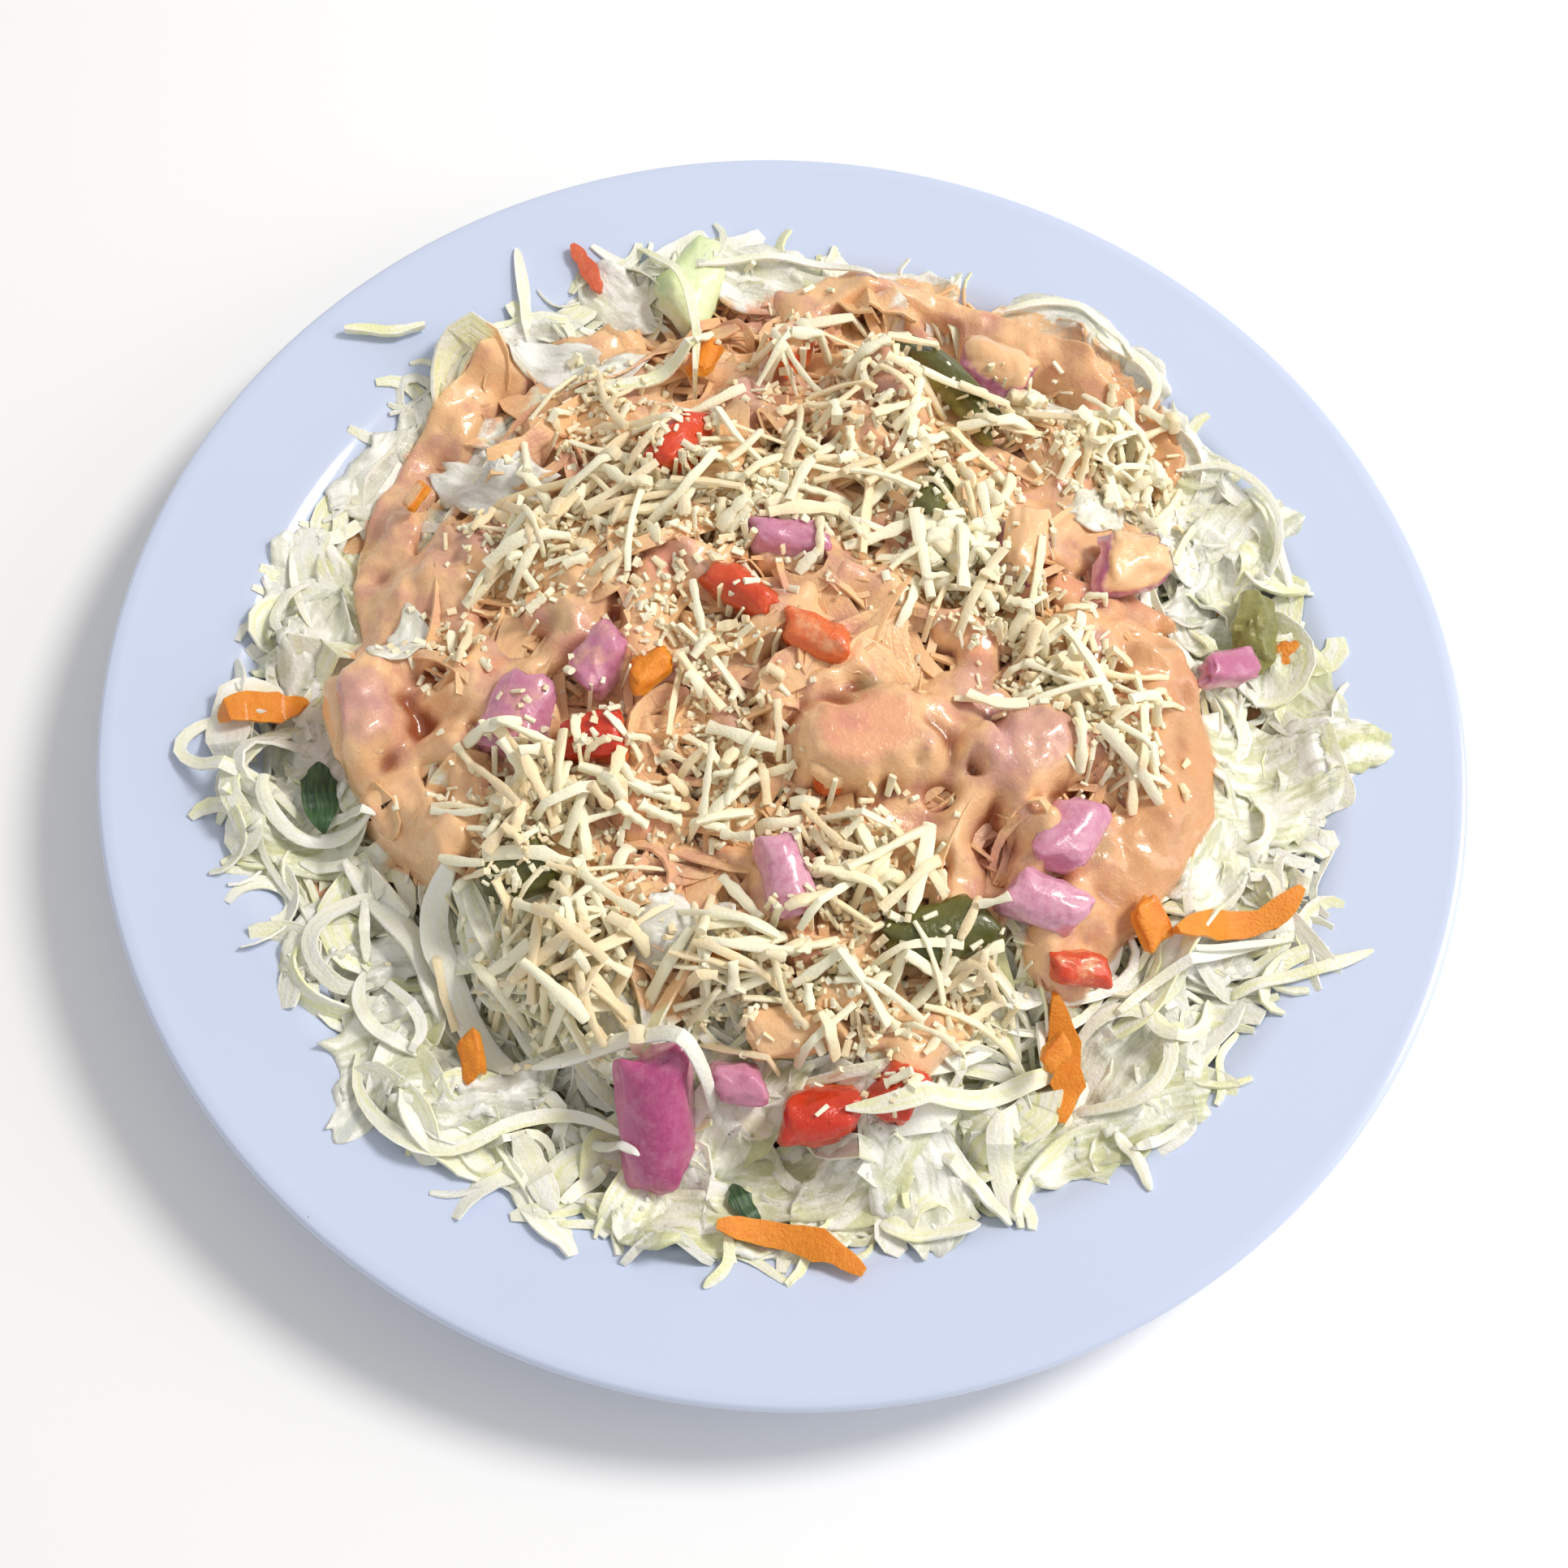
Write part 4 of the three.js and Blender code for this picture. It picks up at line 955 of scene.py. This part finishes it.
# Torn leaves: the middle's x and y, heading in degrees, length, width, ripple, tone, and lift
LEAVES = [
    (84, -4, 12, 34, 24, 1.2, 0.6, 0),
    (99, 4, 20, 22, 14, 0.8, 0.2, 0),
    (105, 5, 10, 13, 10, 0.8, 0.9, 1),
    (31, -84, -62, 26, 18, 1.6, 0.3, 1),
    (22, -82, 60, 26, 14, 1.2, 0.6, 0),
    (-42, -77, 20, 14, 10, 1.6, 0.1, 2),
    (-68, -56, 25, 16, 9, 1.6, 0.1, 1),
    (-78, -52, 80, 18, 9, 1.0, 0.1, 0),
    (-58, 73, 10, 20, 10, 1.0, 0.2, 0),
    (-44, 87, -30, 18, 13, 1.4, 0.2, 1),
    (-13, 95, -5, 34, 14, 1.2, 0.3, 0),
    (45, 91, -15, 30, 15, 1.6, 0.2, 1),
    (60, 82, -30, 18, 11, 1.4, 0.2, 0),
    (82, 46, 70, 26, 16, 1.4, 0.5, 0),
    (-6, -95, 5, 26, 11, 0.8, 1.0, 0),
    (-16, -93, 70, 14, 8, 0.8, 0.6, 0),
    (62, -61, 60, 22, 15, 1.6, 0.4, 1),
    (57, -75, 20, 24, 13, 1.0, 0.9, 0),
    (-83, -22, 75, 26, 14, 1.2, 0.1, 1),
    (-89, 4, 80, 22, 12, 1.4, 0.2, 1),
    (-83, 42, 60, 24, 12, 1.4, 0.2, 0),
    (-64, -80, 70, 18, 10, 1.0, 0.4, 0),
    (-50, -84, 10, 20, 10, 1.2, 0.5, 0),
    (78, -22, 60, 24, 14, 1.4, 0.5, 1),
    (8, -88, 15, 28, 12, 1.0, 0.6, 0),
    (88, 22, 80, 20, 12, 1.2, 0.5, 0),
    (70, 66, -50, 20, 10, 1.2, 0.4, 0),
    (14, 97, 0, 20, 9, 1.2, 0.4, 0),
]
LATE_LEAVES = [
    (-62, 38, -28, 26, 15, 1.2, 0.1, 2),
    (56, 47, 30, 20, 9, 0.8, 0.4, 2),
    (-14, -50, 12, 19, 11, 1.4, 0.1, 2),
    (-54, 70, -10, 18, 9, 1.0, 0.2, 1),
    (-42, 66, 20, 15, 8, 1.0, 0.3, 1),
    (-70, 2, 80, 16, 8, 1.0, 0.3, 1),
    (70, 40, 60, 16, 9, 1.2, 0.3, 1),
]


def fringe_leaves(seed, count):
    """More rows for LEAVES, small and all round the heap's edge."""
    draw = np.random.default_rng(seed)
    for _ in range(count):
        angle, radius = draw.uniform(0, 2 * math.pi), draw.uniform(*FRINGE_LEAF_REACH)
        x, y = radius * math.cos(angle), radius * math.sin(angle)
        length = draw.uniform(12, 26)
        heading, width = draw.uniform(0, 180), length * draw.uniform(0.4, 0.65)
        yield x, y, heading, length, width, draw.uniform(0.8, 1.8), draw.uniform(), 0


def leaf_points(relief, row, seed, rows=22, columns=13):
    """A torn leaf: a sheet over u and v whose width follows a ragged outline. It is let down on the
    relief, bridges its hollows, and ripples more towards its edges. Gives [2, rows, columns, 3]."""
    x, y, heading, length, width, ripple, _, lift = row
    draw = np.random.default_rng(seed)
    u = np.linspace(-1, 1, rows)[:, None]
    v = np.linspace(-1, 1, columns)[None, :]
    ends = draw.uniform(0.25, 0.6, 2)
    outline = 1 - np.abs(u) ** 2.6 * np.where(u < 0, 1 - ends[0], 1 - ends[1])
    left, right = [np.interp(u, np.linspace(-1, 1, 9), draw.uniform(-0.2, 0.2, 9)) for _ in range(2)]
    b = v * width / 2 * (outline + np.where(v < 0, left, right))
    a = u * length / 2 * (1 + 0.12 * np.interp(v, np.linspace(-1, 1, 6), draw.uniform(-1, 1, 6)))
    turn = math.radians(heading) + draw.uniform(-0.4, 0.4) * u
    px, py = x + a * np.cos(turn) - b * np.sin(turn), y + a * np.sin(turn) + b * np.cos(turn)
    under = relief.at(px, py)
    sheet = under
    for _ in range(25):
        wide = np.pad(sheet, 1, mode="edge")
        even = (wide[:-2, 1:-1] + wide[2:, 1:-1] + wide[1:-1, :-2] + wide[1:-1, 2:] + 2 * sheet) / 6
        sheet = np.maximum(under - 0.6, even - 0.04)
    waves = np.sin(a / 3.1 + 2.1 * v + draw.uniform(0, 6))
    waves = waves + 0.6 * np.sin(a / 1.7 - 3 * v + draw.uniform(0, 6))
    sheet = sheet + ripple * (0.25 + 0.75 * np.abs(v) ** 1.5) * (waves * 0.5 + 0.7)
    sheet = sheet + lift * (1 - v * v) * (1 - u * u)
    thick = 0.5
    relief.raise_to(px, py, sheet + thick)
    upper = np.stack([px, py, sheet + thick], -1)
    return np.stack([upper, upper - UP * thick]), np.stack([b, a * 0.25, np.full_like(a, seed * 7.0)], -1)


def leaf_piece(relief, name, table, seed, look, dressed):
    """Every leaf of a table as one object. `dressed` is the most that dressing covers it."""
    leaves = [leaf_points(relief, row, seed + number) for number, row in enumerate(table)]
    points, grain = [np.stack(part) for part in zip(*leaves)]
    tone = np.repeat([row[6] for row in table], points[0].size // 3)
    coat = sauce_cover(points[..., 0], points[..., 1]) * dressed
    values = {"tone": tone, "coat": coat, "grain": np.stack([grain, grain], 1) * MM}
    make_piece(name, points, sheet_faces(len(table), *points.shape[2:4]), look, "cabbage", values=values)


# Carrot strips, the herb leaves and the shred that strayed to the rim: width, thickness and line
CARROT_STRIPS = [
    (5.8, 1.6, [(-102, -15), (-96, -12), (-88, -9)]),
    (5.4, 1.5, [(-3, -96), (6, -96), (15, -97), (22, -101)]),
    (4.8, 1.4, [(70, -39), (78, -34), (87, -32), (91, -29), (94, -25)]),
    (5.2, 1.4, [(50, -52), (54, -59), (55, -65), (54, -71)]),
    (3.4, 1.2, [(-54, 97), (-50, 92), (-47, 87)]),
]
RED_SHAVING = ["carrot_strip_5"]
HERB_LEAVES = [
    (6.5, 0.7, [(-80, -34), (-82, -27), (-84, -20)]),
    (4.2, 0.7, [(4, -95), (1, -92), (-1, -88)]),
]
STRAY_SHREDS = [(2.6, 1.7, [(-95, 70), (-91, 71), (-86, 71), (-80, 74)])]


def traced_pieces(relief, name, node, table, section, look, slot, taper, tone=0.2):
    """One object for each row of a table of width, thickness and line, in place of its own node."""
    u = np.linspace(0, 1, TRACED_STATIONS)
    for number, (width, thick, corners) in enumerate(table, 1):
        px, py, turn = traced_line(corners, TRACED_STATIONS)
        half = width / 2 * (1 - taper * np.abs(2 * u - 1) ** 3)
        half = half * (1 + 0.25 * value_noise(u * 9, u * 0 + number, 1, 40 + number))
        line = settle(relief, px, py, turn, half, thick, 12) + 0.9
        strips = [strip(px, py, line, half, thick, 0.25 * np.sin(3 * u), 0.08 * width, tone)]
        title, replaced = f"{name}_{number}", [f"{node}_{number}"]
        own_look = RED_SHAVING_LOOK if replaced == RED_SHAVING else look
        piece = ribbon_piece(title, strips, section, own_look, slot, replaced, crease=50, dressed=0)
        local = piece.data.attributes.new("local", "FLOAT_VECTOR", "POINT").data
        local.foreach_set("vector", np.tile([0.0, 0.0, LOOK_HEIGHT], len(local)))


# Cheese: places where it lies thick, each with a radius and its share of the sticks
CHEESE_HEAPS = [
    (-30, 32, 20, 15), (-8, 34, 14, 9), (-52, 22, 12, 5), (12, 52, 16, 7), (44, 60, 14, 6),
    (22, 30, 16, 6), (48, 2, 12, 9), (34, 20, 12, 6), (-40, -30, 14, 9), (-34, -52, 13, 8),
    (14, -36, 11, 7), (-18, 2, 18, 8), (-10, -22, 14, 6), (-30, -60, 9, 5), (16, -60, 12, 5),
    (-6, -56, 9, 3), (36, -54, 8, 3), (0, 68, 20, 4), (-44, 56, 12, 3), (56, 64, 9, 5),
    (62, 52, 8, 4), (60, -8, 8, 3), (-62, 0, 8, 2), (0, -54, 10, 3),
]


def cheese_places(draw, count):
    """Where the sticks fall: a spread round each heap of CHEESE_HEAPS."""
    heaps = np.array(CHEESE_HEAPS, float)
    which = draw.choice(len(heaps), count, p=heaps[:, 3] / heaps[:, 3].sum())
    spread = draw.normal(0, 0.55, (count, 2)) * heaps[which, 2:3]
    return heaps[which, 0] + spread[:, 0], heaps[which, 1] + spread[:, 1]


def cheese_sticks(relief, seed, count, lengths, widths, tilt, stations):
    """Grated sticks: nearly straight, propped on what they fall on, none where it is already high."""
    draw = np.random.default_rng(seed)
    u = np.linspace(0, 1, stations)
    strips = []
    for x, y in zip(*cheese_places(draw, count)):
        length = lengths[0] + (lengths[1] - lengths[0]) * draw.uniform() ** 2
        width = draw.uniform(*widths)
        heading, bend = draw.uniform(0, 6.3), draw.normal(0, 0.3)
        px, py, turn = middle_line(x, y, heading, length, bend, 0, 0, stations)
        if relief.at(px, py).max() > CHEESE_LIMIT:
            continue
        half = np.full(stations, width / 2) * draw.uniform(0.65, 1.25, stations)
        line = settle(relief, px, py, turn, half, width * 0.75, 40, sag=0.2)
        line = np.minimum(line + draw.normal(0, tilt) * (u - 0.5) * length, TOP_LIMIT)
        thick = width * draw.uniform(0.4, 0.85) * draw.uniform(0.75, 1.15, stations)
        strips.append(strip(px, py, line, half, thick, draw.uniform(-0.7, 0.7), 0, draw.uniform()))
    return strips


# All of it, from the plate upwards

relief = Relief()
make_plate()
floor_of = lambda x, y: plate_top(np.hypot(x, y)) + 0.3
core_face = lambda x, y: np.maximum(core_top(x, y), floor_of(x, y) + 0.1)
disc_body("inner_slaw", CORE_CELLS, CORE_RADIUS, core_face, floor_of, CORE_LOOK, "dressed_cabbage", ["slaw"],
          {"coat": sauce_cover})
shreds = strew_shreds(relief, 11, SHRED_COUNT)
ribbon_piece("cabbage_shreds", shreds, STICK_SECTION, SHRED_LOOK, "cabbage", crease=60)
leaves = [*fringe_leaves(77, FRINGE_LEAF_COUNT), *LEAVES]
leaf_piece(relief, "cabbage_leaves", leaves, 300, LEAF_LOOK, 0.75)

# Dressing lies over the shreds and over the dice that it coats. `lumps` is what it lies on, `tint` the
# colour that shows through it, and `bare` how much of that shows.
coated = {}
for kind, rows in (("onion", ONIONS), ("pepper", PEPPERS), ("tomato", TOMATOES)):
    coated[kind] = [row for row in rows if row[-1] >= COATED]
shreds_z = relief.z.copy()
lumps = Relief()
lumps.z = shreds_z.copy()
TINTS = {"onion": (0.50, 0.24, 0.30), "pepper": (0.34, 0.30, 0.14), "tomato": (0.78, 0.25, 0.16)}
tint = np.zeros((3, *shreds_z.shape))
bare = np.zeros(shreds_z.shape)


def hidden_dice(seed, count):
    """More dice, which lie under the dressing and only show as lumps: kind, middle, radii, turn, height."""
    draw = np.random.default_rng(seed)
    for _ in range(count):
        angle, radius = draw.uniform(0, 2 * math.pi), HIDDEN_DICE_REACH * math.sqrt(draw.uniform())
        kind = draw.choice(["onion", "pepper", "tomato"], p=[0.6, 0.12, 0.28])
        x, y = radius * math.cos(angle), radius * math.sin(angle) + 6
        size = draw.uniform(2.5, 6.5)
        yield kind, x, y, size, size * draw.uniform(0.5, 0.9), draw.uniform(0, 3.1), draw.uniform(1.5, 4)


def bulge(kind, x, y, reach_a, reach_b, turn, height):
    """Adds a rounded lump to the relief under the dressing, and its colour to the tint."""
    dx, dy = lumps.x - x, lumps.y - y
    a = (dx * math.cos(turn) + dy * math.sin(turn)) / reach_a
    b = (dy * math.cos(turn) - dx * math.sin(turn)) / reach_b
    form = np.sqrt(np.clip(1 - (np.abs(a) ** 2.6 + np.abs(b) ** 2.6), 0, 1))
    top = shreds_z[lumps.cell(np.array(x), np.array(y))] + height
    lumps.z = np.where(form > 0, np.maximum(lumps.z, top - height * (1 - form) * 1.6), lumps.z)
    share = smoothstep(0.1, 0.8, form)
    for channel in range(3):
        tint[channel] = tint[channel] * (1 - share) + TINTS[kind][channel] * share
    np.maximum(bare, share, out=bare)


for lump in hidden_dice(31, HIDDEN_DICE_COUNT):
    bulge(*lump)
for kind, rows in coated.items():
    for x, y, turn, length, width, thick, *_ in rows:
        bulge(kind, x, y, length / 2 + 0.8, width / 2 + 0.8, math.radians(turn), thick * 0.5)
    stamp_dice(lumps, rows, 1.8)

# How thick the dressing lies: uneven, thick along the tracks, and more or less in the pools
cover = sauce_cover(relief.x, relief.y)
uneven = lambda size, seed: value_noise(relief.x, relief.y, size, seed)
amount = 0.1 + 1.5 * uneven(9, 8) + 0.7 * uneven(4, 9)
waver = 1 + 0.25 * uneven(7, 12)
for half, thick, corners in SAUCE_TRACKS:
    share = np.clip(1 - (along_line(relief.x, relief.y, corners) / (half * waver)) ** 2, 0, 1)
    amount = np.maximum(amount, thick * np.sqrt(share) - 9 * (share <= 0))
for x, y, reach, change in SAUCE_POOLS:
    away = np.hypot(relief.x - x, relief.y - y) + 3 * uneven(5, 14)
    amount = amount + change * (1 - smoothstep(reach * 0.5, reach, away))

# Its upper side: thick dressing is smooth, thin dressing follows the shreds, and pits go down between them
full = blurred(spread_out(lumps.z, 1.5), 1.0)
thin = blurred(lumps.z, 0.7) - 0.3
thickness = smoothstep(-1.2, 0.6, amount)
sauce_z = thin * (1 - thickness) + full * thickness + np.clip(amount, -1.5, 2) * 0.55 + 0.15
sauce_z = sauce_z + 0.5 * uneven(2.6, 22) + 0.3 * uneven(1.5, 23)
bare_share = blurred(bare, 1.0)
pits = smoothstep(0.25, 0.6, uneven(5.5, 17))
pits = pits * smoothstep(70, 55, np.hypot(relief.x, relief.y)) * (1 - smoothstep(0.1, 0.4, bare_share))
sauce_z = np.minimum(sauce_z - 4.0 * pits, TOP_LIMIT + 1.0)
sauce_z = blurred(np.where(cover > 0.02, sauce_z, thin) - 15 * (1 - smoothstep(0.05, 0.55, cover)), 0.5)
# Painted shade for the dressing's hollows: how far its surface lies below its blurred surroundings, where it
# covers
painted_hollow_shade = smoothstep(0.2, 2.0, blurred(sauce_z, 3) - sauce_z) * smoothstep(0.5, 0.9, cover)
tint = np.stack([blurred(t, 0.8) for t in tint], -1)
sauce_top = lambda x, y: np.maximum(between_cells(sauce_z, x, y), plate_top(np.hypot(x, y)) - 1.5)
sauce_values = {
    "painted_hollow_shade": lambda x, y: between_cells(painted_hollow_shade, x, y),
    "bare": lambda x, y: between_cells(bare_share, x, y),
    "tint": lambda x, y: np.stack([between_cells(tint[..., k], x, y) for k in range(3)], -1),
}
sauce_floor = lambda x, y: plate_top(np.hypot(x, y)) - 2
disc_body("dressing", SAUCE_CELLS, SAUCE_BODY_RADIUS, sauce_top, sauce_floor, SAUCE_LOOK, "dressing",
          values=sauce_values)
relief.z = np.maximum(relief.z, np.where(cover > 0.3, sauce_z, 0))

# Dice, the pieces that lie over them, and cheese over all
make_dice("onion", ONIONS, ONION_LOOK, "red_onion")
make_dice("green_pepper", PEPPERS, PEPPER_LOOK, "green_pepper")
make_dice("tomato", TOMATOES, TOMATO_LOOK, "tomato")
make_dice("carrot", CARROTS, CARROT_LOOK, "carrot")
chunks_piece("cheese_curds", crumbled(CURDS, 61), CHEESE_LOOK, "cheese", 60)
chunks_piece("cabbage_stem", STEMS, STEM_LOOK, "cabbage", 70)
chunks_piece("carrot_bits", CARROT_BITS, CARROT_LOOK, "carrot", 80)
for rows in (ONIONS, PEPPERS, TOMATOES, CARROTS, STEMS):
    stamp_dice(relief, rows)
leaf_piece(relief, "late_leaves", LATE_LEAVES, 400, PALE_LEAF_LOOK, 0.45)
seen = seen_shreds(relief)
ribbon_piece("seen_shreds", seen, RIBBON_SECTION, SHRED_LOOK, "cabbage", crease=40, dressed=0.3)
for row in (
    ("carrot_shaving", "carrot_strip", CARROT_STRIPS, SOFT_SECTION, CARROT_LOOK, "carrot", 0.75),
    ("herb_blade", "herb_leaf", HERB_LEAVES, FLAT_SECTION, HERB_LOOK, "herb", 0.9),
    ("stray_cut", "stray_shred", STRAY_SHREDS, FLAT_SECTION, SHRED_LOOK, "cabbage", 0.6, 1.2),
):
    traced_pieces(relief, *row)
crumbs = cheese_sticks(relief, 6, CRUMB_COUNT, (0.9, 3.0), (0.6, 1.4), 0.3, 2)
ribbon_piece("cheese_crumbs", crumbs, SOFT_SECTION, CHEESE_LOOK, "cheese", crease=50)
sticks = cheese_sticks(relief, 5, STICK_COUNT, (3.5, 19), (1.1, 2.2), 0.06, STICK_STATIONS)
ribbon_piece("cheese_sticks", sticks, SOFT_SECTION, CHEESE_LOOK, "cheese", crease=50)


# Camera, as the photograph was taken: held over the near side, leaning over the plate, a little rolled
CAMERA_ELEVATION = 66.52
CAMERA_ROLL = 6.21
CAMERA_DISTANCE = 380
CAMERA_AIM = (0.2, -16.0, 21.0)
CAMERA_LENS = 48.48
CAMERA_SENSOR = 36

# Lamps, with direction, distance and size in metres, watts and colour, then the even light and the floor
LAMPS = [
    ("key_lamp", (0.56, 0.27, 0.78), 1.3, 0.35, 11.2, (1.0, 0.96, 0.90)),
    ("window", (0.89, 0.0, 0.45), 1.2, 0.6, 2.2, (1.0, 1.0, 1.0)),
]
SKY_COLOUR = (1.0, 0.972, 0.925, 1)
SKY_STRENGTH = 0.54
FLOOR_COLOUR = (0.95, 0.97, 1.0, 1)
FLOOR_ROUGHNESS = 0.9
FLOOR_REACH = 3


def make_camera():
    camera = bpy.data.objects.new("camera", bpy.data.cameras.new("camera"))
    bpy.context.scene.collection.objects.link(camera)
    camera.data.lens = CAMERA_LENS
    camera.data.sensor_width = CAMERA_SENSOR
    camera.data.clip_start = 0.01
    tilt = math.radians(CAMERA_ELEVATION)
    back = Vector((0, -math.cos(tilt), math.sin(tilt)))
    turn = Matrix.Rotation(math.radians(90 - CAMERA_ELEVATION), 4, "X")
    turn = turn @ Matrix.Rotation(math.radians(CAMERA_ROLL), 4, "Z")
    place = (Vector(CAMERA_AIM) + back * CAMERA_DISTANCE) * MM
    camera.matrix_world = Matrix.Translation(place) @ turn
    bpy.context.scene.camera = camera


def make_lamp(name, direction, distance, size, watts, colour):
    lamp = bpy.data.objects.new(name, bpy.data.lights.new(name, "AREA"))
    bpy.context.scene.collection.objects.link(lamp)
    lamp.data.shape = "DISK"
    lamp.data.size = size
    lamp.data.energy = watts
    lamp.data.color = colour
    lamp.location = Vector(direction).normalized() * distance
    lamp.rotation_euler = (-Vector(direction)).to_track_quat("-Z", "Y").to_euler()


def make_stage():
    floor = bpy.data.meshes.new("floor")
    corners = [(x * FLOOR_REACH, y * FLOOR_REACH, 0) for x, y in ((-1, -1), (1, -1), (1, 1), (-1, 1))]
    floor.from_pydata(corners, [], [(0, 1, 2, 3)])
    look = bpy.data.materials.new("floor")
    look.use_nodes = True
    surface = look.node_tree.nodes["Principled BSDF"].inputs
    surface["Base Color"].default_value = FLOOR_COLOUR
    surface["Roughness"].default_value = FLOOR_ROUGHNESS
    floor.materials.append(look)
    piece = bpy.data.objects.new("floor", floor)
    bpy.context.scene.collection.objects.link(piece)
    for lamp in LAMPS:
        make_lamp(*lamp)
    world = bpy.data.worlds.new("studio")
    world.use_nodes = True
    world.node_tree.nodes["Background"].inputs["Color"].default_value = SKY_COLOUR
    world.node_tree.nodes["Background"].inputs["Strength"].default_value = SKY_STRENGTH
    bpy.context.scene.world = world
    bpy.context.scene.view_settings.view_transform = "Standard"


make_camera()
make_stage()
